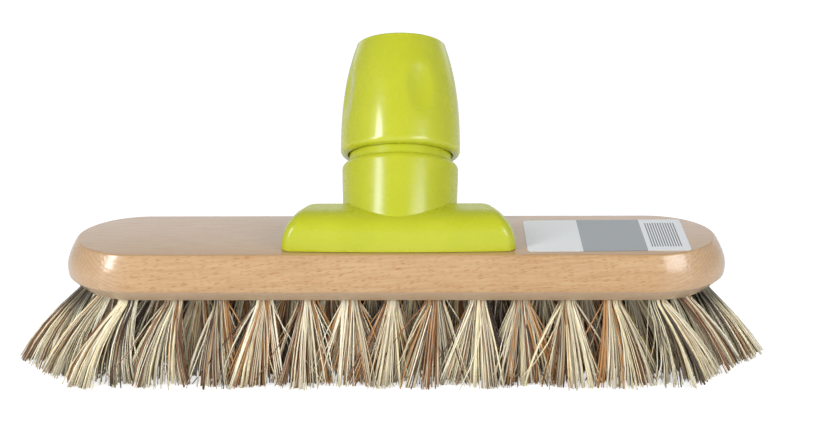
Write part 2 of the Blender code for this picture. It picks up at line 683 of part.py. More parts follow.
def build_screw(index, place, material):
    """A countersunk screw that comes up through the block and bites into the flange."""
    seat = UNDERSIDE_Z + SCREW_SINK
    cone = SCREW_HEAD_RADIUS - SCREW_SHANK_RADIUS
    tip = FLANGE_BOTTOM_Z + SCREW_BITE
    profile = [
        (0.0, seat - SCREW_HEAD_RIM),
        (SCREW_HEAD_RADIUS, seat - SCREW_HEAD_RIM),
        (SCREW_HEAD_RADIUS, seat),
        (SCREW_SHANK_RADIUS, seat + cone),
        (SCREW_SHANK_RADIUS, tip - SCREW_POINT_LENGTH),
        (SCREW_POINT_RADIUS, tip),
        (0.0, tip),
    ]
    bm = bmesh.new()
    revolve(bm, profile, HOLE_STEPS)
    screw = make_object(f"flange_screw_{index + 1}", bm, material)
    screw.location = (*place, 0.0)
    return screw


def build_label(material):
    half_x = LABEL_LENGTH / 2 - LABEL_CORNER
    half_y = LABEL_WIDTH / 2 - LABEL_CORNER
    low = BLOCK_TOP_Z + SEAT_GAP
    outline = []
    corners = ((half_x, -half_y), (half_x, half_y), (-half_x, half_y), (-half_x, -half_y))
    for i, (centre_x, centre_y) in enumerate(corners):
        outline += arc(centre_x, centre_y, LABEL_CORNER, 90 * (i - 1), 90 * i, EDGE_STEPS)
    bm = bmesh.new()
    add_loft(bm, [[(x, y, 0.0) for x, y in outline], [(x, y, LABEL_THICKNESS) for x, y in outline]])
    label = make_object("label_sticker", bm, material, smooth=False)
    label.location = (LABEL_CENTRE_X, LABEL_CENTRE_Y, low)
    label.rotation_euler = (0.0, 0.0, LABEL_TURN)
    return label


def make_axis_empty():
    """The socket's axis, which the collet slides along and the collar turns about."""
    empty = bpy.data.objects.new("socket_axis", None)
    empty.matrix_world = SOCKET_FRAME
    bpy.context.scene.collection.objects.link(empty)
    return empty


def main():
    clear_scene()
    beech = make_material("beech", (0.67, 0.43, 0.22), 0.42)
    plastic = make_material("lime_plastic", (0.60, 0.66, 0.05), 0.30)
    clamp = make_material("clamp_plastic", (0.55, 0.58, 0.56), 0.40)
    bristle = make_material("bristle_fibre", (0.55, 0.45, 0.30), 0.70)
    steel = make_material("screw_steel", (0.62, 0.62, 0.60), 0.30, 1.0)
    paper = make_material("label_paper", (0.82, 0.84, 0.85), 0.45)

    screw_holes = screw_holes_cutter()
    build_block(beech, screw_holes)
    for row in range(ROW_COUNT):
        build_bristle_row(row, bristle, screw_holes)
    build_socket(plastic, screw_holes)
    axis_empty = make_axis_empty()
    build_collet(clamp, axis_empty)
    build_collar(plastic, axis_empty)
    for index, place in enumerate(screw_places()):
        build_screw(index, place, steel)
    build_label(paper)


main()
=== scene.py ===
"""Looks of a deck brush head: lacquered beech, mixed plant fibre and a lime plastic handle socket."""

import json
import logging
import math
import random
from collections.abc import Iterable, Sequence
from dataclasses import dataclass
from enum import Enum

import bmesh
import bpy
import numpy as np
from mathutils import Matrix, Vector

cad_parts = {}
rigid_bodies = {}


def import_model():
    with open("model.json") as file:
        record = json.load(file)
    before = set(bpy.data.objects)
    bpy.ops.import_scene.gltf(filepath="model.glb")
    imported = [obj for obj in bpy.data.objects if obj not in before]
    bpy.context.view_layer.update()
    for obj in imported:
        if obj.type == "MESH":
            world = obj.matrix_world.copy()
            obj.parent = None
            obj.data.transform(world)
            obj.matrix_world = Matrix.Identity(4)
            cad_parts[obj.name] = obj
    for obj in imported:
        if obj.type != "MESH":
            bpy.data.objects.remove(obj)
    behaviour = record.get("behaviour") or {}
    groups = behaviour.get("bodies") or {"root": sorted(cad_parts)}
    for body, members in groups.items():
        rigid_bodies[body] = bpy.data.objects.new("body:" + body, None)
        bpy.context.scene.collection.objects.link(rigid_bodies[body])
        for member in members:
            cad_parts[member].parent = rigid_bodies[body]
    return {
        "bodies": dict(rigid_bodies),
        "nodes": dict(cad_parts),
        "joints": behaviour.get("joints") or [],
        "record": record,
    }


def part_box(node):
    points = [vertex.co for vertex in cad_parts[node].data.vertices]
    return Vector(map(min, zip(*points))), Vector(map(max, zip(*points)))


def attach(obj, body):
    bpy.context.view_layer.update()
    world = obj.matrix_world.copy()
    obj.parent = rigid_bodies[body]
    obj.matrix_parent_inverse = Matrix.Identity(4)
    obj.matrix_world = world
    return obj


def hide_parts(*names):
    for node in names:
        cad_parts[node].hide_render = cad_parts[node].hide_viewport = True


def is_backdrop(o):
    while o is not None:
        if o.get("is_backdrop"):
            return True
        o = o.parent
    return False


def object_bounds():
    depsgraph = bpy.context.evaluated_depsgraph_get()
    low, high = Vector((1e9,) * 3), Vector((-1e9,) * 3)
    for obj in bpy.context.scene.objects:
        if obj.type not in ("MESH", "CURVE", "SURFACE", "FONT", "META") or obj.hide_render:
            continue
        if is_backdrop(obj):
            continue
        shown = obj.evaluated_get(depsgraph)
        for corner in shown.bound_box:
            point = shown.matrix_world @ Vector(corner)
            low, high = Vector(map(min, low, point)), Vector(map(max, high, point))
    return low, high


LOG = logging.getLogger("deck_brush")

PHOTO_WIDTH_PX = 815
OVERSHOOT = 0.002  # how far a cutter stands out of what it cuts
AXIS_REACH = 1e-6  # what lies closer to a lathe's axis than this lies on it
MERGE_REACH = 1e-5  # points on the axis that are closer together than this become one
RIDGE_STEPS = 72  # facets in each turn of a thread's ridge
BRUSH = "brush"
COLLET = "collet"
COLLAR = "collar"

Point = tuple[float, float, float]
Spot = tuple[float, float]
Colour = tuple[float, float, float]
Stops = tuple[tuple[float, Colour], ...]
Mesh = bmesh.types.BMesh
Thing = bpy.types.Object
Wire = bpy.types.NodeSocket
Value = float | Wire

WHITE: Colour = (1.0, 1.0, 1.0)


class Slot(Enum):
    """The record's material slots, which the pieces take their finishes from."""

    BEECH = "beech"
    FIBRE = "bristle_fibre"
    LIME = "lime_plastic"
    CLAMP = "clamp_plastic"
    STEEL = "screw_steel"
    PAPER = "label_paper"


# Shader trees


class Graph:
    """A node tree, with short calls for the nodes that the finishes and the sky share."""

    def __init__(self, owner: bpy.types.Material | bpy.types.World) -> None:
        """Take hold of a new tree.

        Args:
            owner: the material or world that it belongs to.
        """
        owner.use_nodes = True
        self.owner = owner
        self.nodes = owner.node_tree.nodes
        self.links = owner.node_tree.links

    def feed(self, socket: Wire, value: object) -> None:
        """Link an input to another node's socket, or set it to a number, vector or colour.

        Args:
            socket: the input.
            value: a socket, or a plain value that is the same all over.
        """
        if isinstance(value, Wire):
            self.links.new(value, socket)
        else:
            socket.default_value = (*value, 1.0) if socket.type == "RGBA" else value

    def add(self, kind: str, *fed: object, **named: object) -> bpy.types.Node:
        """Add a node.

        Args:
            kind: its type.
            fed: values or sockets for its first inputs, in their order.
            named: inputs by name, with a capital and with underscores for spaces, and the node's
                own settings, which have no capital.

        Returns:
            The new node.
        """
        node = self.nodes.new(kind)
        for socket, value in zip(node.inputs, fed):
            self.feed(socket, value)
        for name, value in named.items():
            if name[0].isupper():
                self.feed(node.inputs[name.replace("_", " ")], value)
            else:
                setattr(node, name, value)
        return node

    def dress(self, **values: object) -> None:
        """Feed the Principled shader's inputs, named as in add()."""
        for name, value in values.items():
            self.feed(self.nodes["Principled BSDF"].inputs[name.replace("_", " ")], value)

    def place(self, scale: Point = (1, 1, 1), turn: Point = (0, 0, 0), centre: Point = (0, 0, 0)) -> Wire:
        """Coordinates of the piece, moved and turned and then scaled.

        Args:
            scale: how many times the pattern repeats in a metre along each axis.
            turn: Euler angles in degrees that lay the pattern along the piece.
            centre: where the pattern's own origin lies.

        Returns:
            The vector socket.
        """
        source = self.add("ShaderNodeTexCoord").outputs["Object"]
        angles = [math.radians(angle) for angle in turn]
        laid = self.add("ShaderNodeMapping", source, Location=centre, Rotation=angles, vector_type="TEXTURE")
        return self.add("ShaderNodeMapping", laid.outputs[0], Scale=scale).outputs[0]

    def noise(self, where: Wire, scale: float, detail: float = 3.0) -> Wire:
        """Noise from 0 to 1 at a place, with a scale on its coordinates and a number of octaves."""
        return self.add("ShaderNodeTexNoise", Vector=where, Scale=scale, Detail=detail).outputs["Fac"]

    def attribute(self, name: str) -> Wire:
        """A number that the piece's mesh carries at its points."""
        return self.add("ShaderNodeAttribute", attribute_name=name).outputs["Fac"]

    def axis(self, vector: Wire, name: str) -> Wire:
        """One axis of a vector."""
        return self.add("ShaderNodeSeparateXYZ", vector).outputs[name]

    def math(self, operation: str, *values: Value) -> Wire:
        """Work out a Math node's operation on one to three values."""
        return self.add("ShaderNodeMath", *values, operation=operation).outputs[0]

    def times(self, first: Value, second: Value) -> Wire:
        """The product of two values."""
        return self.math("MULTIPLY", first, second)

    def line(self, value: Wire, gain: float, base: float) -> Wire:
        """A value times a gain, added to a base."""
        return self.math("ADD", base, self.times(value, gain))

    def fade(self, value: Value, share: Wire, loss: float) -> Wire:
        """A value that loses some of itself as a share goes from 0 to 1."""
        return self.times(value, self.math("SUBTRACT", 1.0, self.times(share, loss)))

    def window(self, value: Wire, low: float, high: float) -> Wire:
        """Read a value on a smooth scale that is 0 at low and 1 at high."""
        node = self.add("ShaderNodeMapRange", value, low, high, interpolation_type="SMOOTHSTEP")
        return node.outputs["Result"]

    def mix(self, share: Value, first: object, second: object, blend: str = "MIX") -> Wire:
        """Mix two colours.

        Args:
            share: how much of the second, as a number or a socket.
            first: a colour or a socket.
            second: a colour or a socket.
            blend: the blend type.

        Returns:
            The colour socket.
        """
        node = self.add("ShaderNodeMix", share, data_type="RGBA", blend_type=blend)
        self.feed(node.inputs[6], first)
        self.feed(node.inputs[7], second)
        return node.outputs[2]

    def ramp(self, factor: Wire, stops: Stops, interpolation: str = "LINEAR") -> Wire:
        """Read a factor on a scale of colours.

        Args:
            factor: the value that is read, from 0 to 1.
            stops: each colour with its place on the scale.
            interpolation: how the colours go over into each other.

        Returns:
            The colour socket.
        """
        node = self.add("ShaderNodeValToRGB", factor)
        node.color_ramp.interpolation = interpolation
        elements = node.color_ramp.elements
        for element, (position, colour) in zip(elements, stops[:2]):
            element.position, element.color = position, (*colour, 1.0)
        for position, colour in stops[2:]:
            elements.new(position).color = (*colour, 1.0)
        return node.outputs["Color"]

    def bump(self, height: Wire, depth: float) -> None:
        """Raise the surface by a height from 0 to 1, over a depth in metres."""
        node = self.add("ShaderNodeBump", Height=height, Distance=depth, Strength=1.0)
        self.dress(Normal=node.outputs[0])


@dataclass(frozen=True)
class BeechFinish:
    """Steamed beech under clear lacquer, with growth rings and short dark flecks along the grain.

    The rings lie round a pith that runs along the block, below and behind it, so they show as faint
    lines on the long sides and as arcs on the ends. A loss is what a mark loses of itself on the top
    or at the ends, and a line's two numbers are its gain and its base.
    """

    pale: Colour = (0.650, 0.415, 0.208)
    deep: Colour = (0.535, 0.305, 0.132)
    tone_span: Spot = (0.28, 0.72)
    # painted shade: the chamfer, which faces down, is painted darker and greyer than the rest of the wood
    painted_chamfer_shade: Colour = (0.46, 0.36, 0.255)
    painted_chamfer_shade_share: float = 0.55
    # partly the end grain's own tone and partly painted haze: the ends are painted paler and bluer to stand in for the
    # lacquer's reflection
    end_grain_and_haze: Colour = (0.67, 0.51, 0.375)
    end_grain_and_haze_share: float = 0.22
    grain_tilt: float = 12.0
    grain: Point = (60, 900, 900)
    ripple: Point = (260, 900, 900)
    cloud_scale: float = 26.0
    cloud_share: float = 0.34
    fleck: Colour = (0.46, 0.195, 0.040)
    fleck_share: float = 0.95
    fleck_length: float = 0.0046
    fleck_width: float = 0.00060
    fleck_edge: Spot = (0.42, 0.14)
    fleck_sets: tuple[Point, ...] = ((1.0, 1.0, 0.30), (0.62, 0.6, 0.22))  # size, tilt and least lot
    ring_spacing: float = 0.0012
    ring_turn: Point = (0, 1.6, -2.2)
    pith: Point = (0.0, 0.030, -0.020)
    ring_line: Spot = (0.13, 0.04)
    end_top_loss: float = 0.85
    tone_top_loss: float = 0.6
    fleck_top_loss: float = 0.8
    fleck_end_loss: float = 0.9
    roughness_line: Spot = (0.16, 0.36)
    end_polish: float = 0.20
    glitter_scale: float = 1050.0
    glitter_share: float = 1.8
    ripple_share: float = 0.6
    fleck_dent: float = 0.3
    relief_depth: float = 0.00013
    end_start: float = 0.106
    end_full: float = 0.119
    top_z: float = 0.0585
    top_blend: float = 0.0008
    chamfer_z: float = 0.0431
    chamfer_blend: float = 0.0002

    def build(self) -> bpy.types.Material:
        """Make the material.

        Returns:
            The material.
        """
        graph = Graph(bpy.data.materials.new("beech_lacquered"))
        tilted = (0, -self.grain_tilt, 0)
        fine = graph.noise(graph.place(self.grain, (0, -self.grain_tilt / 3, 0)), 1.0, 4.0)
        clouds = graph.noise(graph.place(turn=tilted), self.cloud_scale, 2.0)
        distance = graph.math("ABSOLUTE", graph.axis(graph.place(), "X"))
        at_end = graph.window(distance, self.end_start, self.end_full)
        height = graph.axis(graph.place(), "Z")
        on_top = graph.window(height, self.top_z - self.top_blend, self.top_z)
        on_chamfer = graph.window(height, self.chamfer_z + self.chamfer_blend, self.chamfer_z - self.chamfer_blend)
        on_side = graph.fade(at_end, on_top, self.end_top_loss)

        tone = graph.math("ADD", graph.times(fine, 1 - self.cloud_share), graph.times(clouds, self.cloud_share))
        tone = graph.fade(graph.math("SUBTRACT", tone, 0.5), on_top, self.tone_top_loss)
        rings = graph.math("SUBTRACT", self.rings(graph), 0.5)
        rings = graph.times(rings, graph.line(on_side, *self.ring_line))
        tone = graph.math("ADD", graph.math("ADD", tone, 0.5), rings)
        flecks = graph.fade(self.flecks(graph, at_end), on_top, self.fleck_top_loss)
        wood = graph.mix(graph.window(tone, *self.tone_span), self.pale, self.deep)
        wood = graph.mix(graph.times(flecks, self.fleck_share), wood, self.fleck)
        # end grain tone with painted reflection haze, paler and bluer at the ends
        wood = graph.mix(graph.times(on_side, self.end_grain_and_haze_share), wood, self.end_grain_and_haze)
        # painted shade: darker, greyer colour on the down-facing chamfer
        wood = graph.mix(graph.times(on_chamfer, self.painted_chamfer_shade_share), wood, self.painted_chamfer_shade)
        polish = graph.times(on_side, self.end_polish)
        roughness = graph.math("SUBTRACT", graph.line(fine, *self.roughness_line), polish)
        graph.dress(Base_Color=wood, Roughness=roughness, Coat_Weight=0.9, Coat_Roughness=0.18, Coat_IOR=1.5)

        ripple = graph.noise(graph.place(self.ripple, tilted), 1.0, 2.0)
        glitter = graph.noise(graph.place(), self.glitter_scale, 1.0)
        glitter = graph.times(glitter, graph.times(at_end, self.glitter_share))
        dents = graph.times(flecks, self.fleck_dent)
        relief = graph.math("SUBTRACT", graph.times(ripple, self.ripple_share), dents)
        graph.bump(graph.math("ADD", relief, glitter), self.relief_depth)
        return graph.owner

    def rings(self, graph: Graph) -> Wire:
        """Growth rings round the pith, wavy along the block.

        Args:
            graph: the material's tree.

        Returns:
            0 to 1 across each ring.
        """
        wave = graph.add(
            "ShaderNodeTexWave", graph.place(turn=self.ring_turn, centre=self.pith),
            Scale=math.tau / 20 / self.ring_spacing, Distortion=2.6, Detail=3.0, Detail_Scale=0.35,
            wave_type="RINGS", rings_direction="X",
        )
        return wave.outputs["Fac"]

    def flecks(self, graph: Graph, at_end: Wire) -> Wire:
        """Short dashes along the grain, one in some cells of two stretched cell patterns.

        Args:
            graph: the material's tree.
            at_end: how far a place lies in the rounded ends, where few dashes show.

        Returns:
            The share of fleck at a place.
        """
        shares = []
        for size, tilt, least in self.fleck_sets:
            length, width = self.fleck_length * size, self.fleck_width * size
            where = graph.place((1 / length, 1 / (2 * width), 1 / width), (0, -self.grain_tilt * tilt, 0))
            cells = graph.add("ShaderNodeTexVoronoi", Vector=where, Scale=1.0, Randomness=1.0)
            lot = graph.add("ShaderNodeSeparateColor", cells.outputs["Color"]).outputs[0]
            inside = graph.window(cells.outputs["Distance"], *self.fleck_edge)
            shares.append(graph.times(graph.window(lot, least, 0.95), inside))
        return graph.fade(graph.math("MAXIMUM", *shares), at_end, self.fleck_end_loss)


@dataclass(frozen=True)
class PlasticFinish:
    """Glossy moulded plastic with a faint ripple, as a slightly worn mould leaves it."""

    name: str
    colour: Colour
    cloud: Colour
    roughness: float = 0.28
    coat: float = 0.2
    coat_roughness: float = 0.20
    cloud_scale: float = 55.0
    cloud_span: Spot = (0.35, 0.7)
    haze_scale: float = 160.0
    haze: float = 0.10
    grit_scale: float = 1500.0
    grit_share: float = 0.12
    ripple_share: float = 0.5
    ripple_depth: float = 0.00006
    specular_tint: Colour = (0.60, 0.62, 1.0)
    bleed: Point = (1.0, 0.9, 0.2)

    def build(self) -> bpy.types.Material:
        """Make the material.

        Returns:
            The material.
        """
        graph = Graph(bpy.data.materials.new(self.name))
        where = graph.place()
        clouds = graph.noise(where, self.cloud_scale, 4.0)
        haze = graph.noise(where, self.haze_scale, 4.0)
        grit = graph.noise(where, self.grit_scale, 2.0)
        graph.dress(
            Base_Color=graph.mix(graph.window(clouds, *self.cloud_span), self.colour, self.cloud),
            Specular_Tint=self.specular_tint,
            Specular_IOR_Level=0.6,
            Roughness=graph.line(haze, self.haze, self.roughness - self.haze / 2),
            Subsurface_Weight=0.12,
            Subsurface_Scale=0.002,
            Subsurface_Radius=self.bleed,
            IOR=1.5,
            Coat_Weight=self.coat,
            Coat_Roughness=self.coat_roughness,
        )
        ripple = graph.math("ADD", graph.times(clouds, self.ripple_share), graph.times(grit, self.grit_share))
        graph.bump(ripple, self.ripple_depth)
        return graph.owner


@dataclass(frozen=True)
class FibreFinish:
    """Plant fibre in mixed natural tones, one to a fibre, with painted shade that darkens it towards its root.

    A line's two numbers are its gain and its base.
    """

    tones: Stops = (
        (0.00, (1.00, 0.94, 0.74)),
        (0.20, (0.95, 0.85, 0.57)),
        (0.38, (0.80, 0.72, 0.53)),
        (0.53, (0.58, 0.51, 0.37)),
        (0.66, (0.55, 0.29, 0.115)),
        (0.78, (0.30, 0.140, 0.065)),
        (0.90, (0.085, 0.055, 0.042)),
    )
    mottle: Point = (700, 700, 160)
    mottle_line: Spot = (0.4, 0.78)
    roughness_line: Spot = (0.25, 0.42)
    relief_depth: float = 0.00006
    light: float = 1.08
    # painted shade: how much darker the fibres are painted at the root, and where along them it ends
    painted_root_shade: float = 0.82
    painted_shade_end: float = 0.42

    def build(self) -> bpy.types.Material:
        """Make the material.

        Returns:
            The material.
        """
        graph = Graph(bpy.data.materials.new("bristle_fibre_mixed"))
        tone = graph.ramp(graph.attribute("tone"), self.tones, "CONSTANT")
        mottle = graph.noise(graph.place(self.mottle), 1.0)
        # painted shade: darkens each fibre towards its root, where the tufts shade each other
        shade = graph.times(graph.window(graph.attribute("along"), self.painted_shade_end, 0.0), self.painted_root_shade)
        light = graph.times(graph.line(mottle, *self.mottle_line), graph.math("SUBTRACT", self.light, shade))
        grey = graph.add("ShaderNodeCombineColor", light, light, light).outputs[0]
        colour = graph.mix(1.0, tone, grey, "MULTIPLY")
        graph.dress(Base_Color=colour, Roughness=graph.line(mottle, *self.roughness_line))
        graph.bump(mottle, self.relief_depth)
        return graph.owner


@dataclass(frozen=True)
class SteelFinish:
    """Bright zinc on a small steel screw, with fine turning marks."""

    colour: Colour = (0.62, 0.62, 0.60)
    dull: Colour = (0.50, 0.50, 0.49)

    def build(self) -> bpy.types.Material:
        """Make the material.

        Returns:
            The material.
        """
        graph = Graph(bpy.data.materials.new("screw_zinc"))
        clouds = graph.noise(graph.place(), 900.0)
        tint = graph.mix(clouds, self.colour, self.dull)
        graph.dress(Base_Color=tint, Metallic=1.0, Roughness=graph.line(clouds, 0.25, 0.2))
        graph.bump(clouds, 0.00002)
        return graph.owner


@dataclass(frozen=True)
class StickerFinish:
    """Coated white paper printed with one plain grey panel and a block of even stripes.

    A span is a rectangle's least and most place along the sticker, and its least and most across it.
    """

    paper: Colour = (0.90, 0.915, 0.92)
    speck: Colour = (0.82, 0.84, 0.86)
    panel: Colour = (0.29, 0.32, 0.335)
    stripe: Colour = (0.10, 0.10, 0.11)
    panel_span: tuple[float, float, float, float] = (0.34, 0.735, -0.01, 1.01)
    stripe_span: tuple[float, float, float, float] = (0.765, 0.955, 0.12, 0.88)
    stripe_count: float = 62.0

    def build(self) -> bpy.types.Material:
        """Make the material.

        Returns:
            The material.
        """
        graph = Graph(bpy.data.materials.new("sticker_print"))
        plan = graph.add("ShaderNodeUVMap", uv_map="print").outputs[0]
        specks = graph.noise(graph.place(), 700.0)
        colour = graph.mix(graph.times(specks, 0.25), self.paper, self.speck)
        colour = graph.mix(self.patch(graph, plan, self.panel_span), colour, self.panel)
        beat = graph.math("FRACT", graph.times(graph.axis(plan, "X"), self.stripe_count))
        bars = graph.times(graph.math("GREATER_THAN", beat, 0.5), self.patch(graph, plan, self.stripe_span))
        colour = graph.mix(bars, colour, self.stripe)
        graph.dress(Base_Color=colour, Roughness=0.34, Coat_Weight=0.4, Coat_Roughness=0.2)
        graph.bump(specks, 0.00003)
        return graph.owner

    def patch(self, graph: Graph, plan: Wire, span: tuple[float, float, float, float]) -> Wire:
        """A rectangle of print.

        Args:
            graph: the material's tree.
            plan: the place on the sticker, from 0 to 1 each way.
            span: the rectangle.

        Returns:
            1 inside the rectangle and 0 outside.
        """
        sides = []
        for name, low, high in (("X", *span[:2]), ("Y", *span[2:])):
            way = graph.axis(plan, name)
            sides.append(graph.times(graph.math("GREATER_THAN", way, low), graph.math("LESS_THAN", way, high)))
        return graph.times(*sides)


# Mesh tools


def bend(centre: Spot, radius: float, start: float, end: float, steps: int) -> list[Spot]:
    """Points of a round corner in an outline.

    Args:
        centre: the corner's centre.
        radius: the corner's own radius.
        start: its first angle in degrees.
        end: its last angle in degrees.
        steps: how many pieces it has.

    Returns:
        The points.
    """
    angles = [math.radians(start + (end - start) * i / steps) for i in range(steps + 1)]
    return [(centre[0] + radius * math.cos(a), centre[1] + radius * math.sin(a)) for a in angles]


def closed_loop(bm: Mesh, points: Iterable[Point]) -> list[bmesh.types.BMEdge]:
    """Join points into a closed loop of edges."""
    verts = [bm.verts.new(point) for point in points]
    return [bm.edges.new((verts[i - 1], verts[i])) for i in range(len(verts))]


def lathe(profile: Iterable[Spot], steps: int, place: Matrix = Matrix.Identity(4)) -> Mesh:
    """Spin a closed profile about Z, and close it on the axis.

    Args:
        profile: (radius, height) points round one half of the section.
        steps: facets round the turn.
        place: where the turned solid goes.

    Returns:
        The solid.
    """
    bm = bmesh.new()
    edges = closed_loop(bm, ((radius, 0.0, height) for radius, height in profile))
    bmesh.ops.spin(
        bm, geom=bm.verts[:] + edges, cent=(0, 0, 0), axis=(0, 0, 1), dvec=(0, 0, 0),
        angle=math.tau, steps=steps, use_merge=True, use_duplicate=False,
    )
    on_axis = [vert for vert in bm.verts if math.hypot(vert.co.x, vert.co.y) < AXIS_REACH]
    bmesh.ops.remove_doubles(bm, verts=on_axis, dist=MERGE_REACH)
    bmesh.ops.delete(bm, geom=[edge for edge in bm.edges if not edge.link_faces], context="EDGES")
    bm.transform(place)
    return bm


def skin(rings: Iterable[Sequence[Point]]) -> Mesh:
    """Bridge a stack of closed rings into one skin, and fill its two ends.

    Args:
        rings: the rings, each with the same number of points.

    Returns:
        The skin.
    """
    bm = bmesh.new()
    loops = [closed_loop(bm, ring) for ring in rings]
    for lower, upper in zip(loops, loops[1:]):
        bmesh.ops.bridge_loops(bm, edges=lower + upper)
    for end in (loops[0], loops[-1]):
        bmesh.ops.edgeloop_fill(bm, edges=end)
    return bm


def cut(bm: Mesh, point: Point, normal: Point) -> None:
    """Cut away what lies on one side of a plane, and close the cut.

    Args:
        bm: the solid.
        point: a point on the plane.
        normal: the plane's normal, which points at what goes away.
    """
    geometry = bm.verts[:] + bm.edges[:] + bm.faces[:]
    bmesh.ops.bisect_plane(bm, geom=geometry, plane_co=point, plane_no=normal, clear_outer=True)
    bmesh.ops.edgeloop_fill(bm, edges=[edge for edge in bm.edges if edge.is_boundary])


def pour(bm: Mesh, other: Mesh) -> None:
    """Add another bmesh to this one, and free it.

    Args:
        bm: the bmesh that takes it up.
        other: the bmesh that is added, closed in itself.
    """
    bmesh.ops.recalc_face_normals(other, faces=other.faces)
    mesh = bpy.data.meshes.new("poured")
    other.to_mesh(mesh)
    other.free()
    bm.from_mesh(mesh)
    bpy.data.meshes.remove(mesh)


def to_scene(name: str, data: bpy.types.ID) -> Thing:
    """Put a mesh, curve, lamp or camera in the scene.

    Args:
        name: the object's name.
        data: what the object shows.

    Returns:
        The object.
    """
    thing = bpy.data.objects.new(name, data)
    bpy.context.scene.collection.objects.link(thing)
    return thing


def to_object(name: str, bm: Mesh) -> Thing:
    """Turn a bmesh into an object in the scene, with its faces pointing out, and free the bmesh.

    Args:
        name: the object's name.
        bm: the bmesh.

    Returns:
        The object.
    """
    bmesh.ops.recalc_face_normals(bm, faces=bm.faces)
    mesh = bpy.data.meshes.new(name)
    bm.to_mesh(mesh)
    bm.free()
    return to_scene(name, mesh)


def box(place: Matrix, size: Point) -> Mesh:
    """Make a box round the origin of a frame, as a cutter.

    Args:
        place: the frame.
        size: the box's length along each axis of the frame.

    Returns:
        The box.
    """
    bm = bmesh.new()
    bmesh.ops.create_cube(bm, size=1.0, matrix=place @ Matrix.Diagonal((*size, 1)))
    return bm


def drills(name: str, profile: Sequence[Spot], steps: int, spots: Iterable[Spot]) -> Thing:
    """Turn the same upright solid at several places, as one cutter.

    Args:
        name: the cutter's name.
        profile: (radius, height) points round one half of the section.
        steps: facets round each turn.
        spots: where the solids stand, as (x, y).

    Returns:
        The cutter.
    """
    bm = bmesh.new()
    for x, y in spots:
        pour(bm, lathe(profile, steps, Matrix.Translation((x, y, 0))))
    return to_object(name, bm)


def shaped(thing: Thing) -> bpy.types.Mesh:
    """A new mesh of an object, as its modifiers or its bevel shape it."""
    return bpy.data.meshes.new_from_object(thing.evaluated_get(bpy.context.evaluated_depsgraph_get()))


def discard(things: Iterable[Thing]) -> None:
    """Remove objects that have done their work."""
    for thing in things:
        bpy.data.objects.remove(thing, do_unlink=True)


def carve(thing: Thing, tools: Sequence[tuple[Thing, str]]) -> None:
    """Join or cut other solids into a piece, and remove them.

    Args:
        thing: the piece.
        tools: each solid with its Boolean operation.
    """
    for tool, operation in tools:
        boolean = thing.modifiers.new(tool.name, "BOOLEAN")
        boolean.operation = operation
        boolean.solver = "EXACT"
        boolean.object = tool
    mesh = shaped(thing)
    thing.modifiers.clear()
    thing.data = mesh
    discard(tool for tool, _ in tools)


def helix_ridge(
    name: str, radius: float, height: float, lead: float, start: float, end: float, place: Matrix, inward: bool = False
) -> Thing:
    """Sweep a rounded ridge up a helix, and sink both of its ends into the wall.

    Args:
        name: the object's name.
        radius: the wall's radius.
        height: how far the ridge stands off the wall.
        lead: climb in one turn.
        start: height of the helix's start on the axis.
        end: height of its end.
        place: the axis's own frame.
        inward: whether the ridge stands on the inside of a bore.

    Returns:
        The ridge's object.
    """
    side = -1.0 if inward else 1.0
    turns = (end - start) / lead
    steps = int(RIDGE_STEPS * turns)
    half = 0.30 * lead
    sunk = 0.0003
    section = [(-sunk, -half), (0.0, -half), (height * 0.8, -half * 0.45), (height, -half * 0.2)]
    section += [(out, -up) for out, up in reversed(section)]
    bm = bmesh.new()
    verts = [bm.verts.new((radius + side * out, 0.0, start + up)) for out, up in section]
    face = bm.faces.new(verts)
    bmesh.ops.spin(
        bm, geom=[face, *face.edges, *verts], cent=(0, 0, 0), axis=(0, 0, 1), dvec=(0, 0, (end - start) / steps),
        angle=math.tau * turns, steps=steps, use_merge=False, use_duplicate=False,
    )
    fade = lead / 6
    for vert in bm.verts:
        own = math.hypot(vert.co.x, vert.co.y)
        inside = min(1.0, max(0.0, (vert.co.z - start + half) / fade), max(0.0, (end - vert.co.z + half) / fade))
        wanted = radius + (own - radius) * inside if side * (own - radius) > 0 else own
        vert.co.x *= wanted / own
        vert.co.y *= wanted / own
    bm.transform(place)
    return to_object(name, bm)


def present(
    thing: Thing,
    material: bpy.types.Material,
    body: str,
    stands_for: Sequence[str] = (),
    sharp_angle: float = 32.0,
) -> None:
    """Shade and dress a finished piece, and make it ride on its body.

    Args:
        thing: the piece.
        material: its finish.
        body: the body that it moves with.
        stands_for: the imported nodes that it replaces.
        sharp_angle: edges that turn by more than this, in degrees, stay sharp.
    """
    thing.data.shade_smooth()
    thing.data.set_sharp_from_angle(angle=math.radians(sharp_angle))
    thing.data.materials.clear()
    thing.data.materials.append(material)
    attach(thing, body)
    if stands_for:
        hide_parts(*stands_for)
    LOG.info("%s: %d faces, rides on %s", thing.name, len(thing.data.polygons), body)


# Places


@dataclass(frozen=True)
class Datum:
    """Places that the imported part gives: the block's lower and upper faces and the socket's axis."""

    underside_z: float
    top_z: float
    socket: Matrix
    seat_height: float = 0.0140

    @classmethod
    def read(cls, record: dict) -> "Datum":
        """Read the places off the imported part.

        Args:
            record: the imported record.

        Returns:
            The places.
        """
        low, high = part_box("wood_block")
        seat = next(mount for mount in record["mounts"] if mount["name"] == "handle_seat")
        axis = Vector(seat["axis"]).normalized()
        origin = Vector(seat["pos_m"]) - axis * cls.seat_height
        lean = math.atan2(axis.y, axis.z)
        return cls(low.z, high.z, Matrix.Translation(origin) @ Matrix.Rotation(-lean, 4, "X"))


# Sub-assemblies


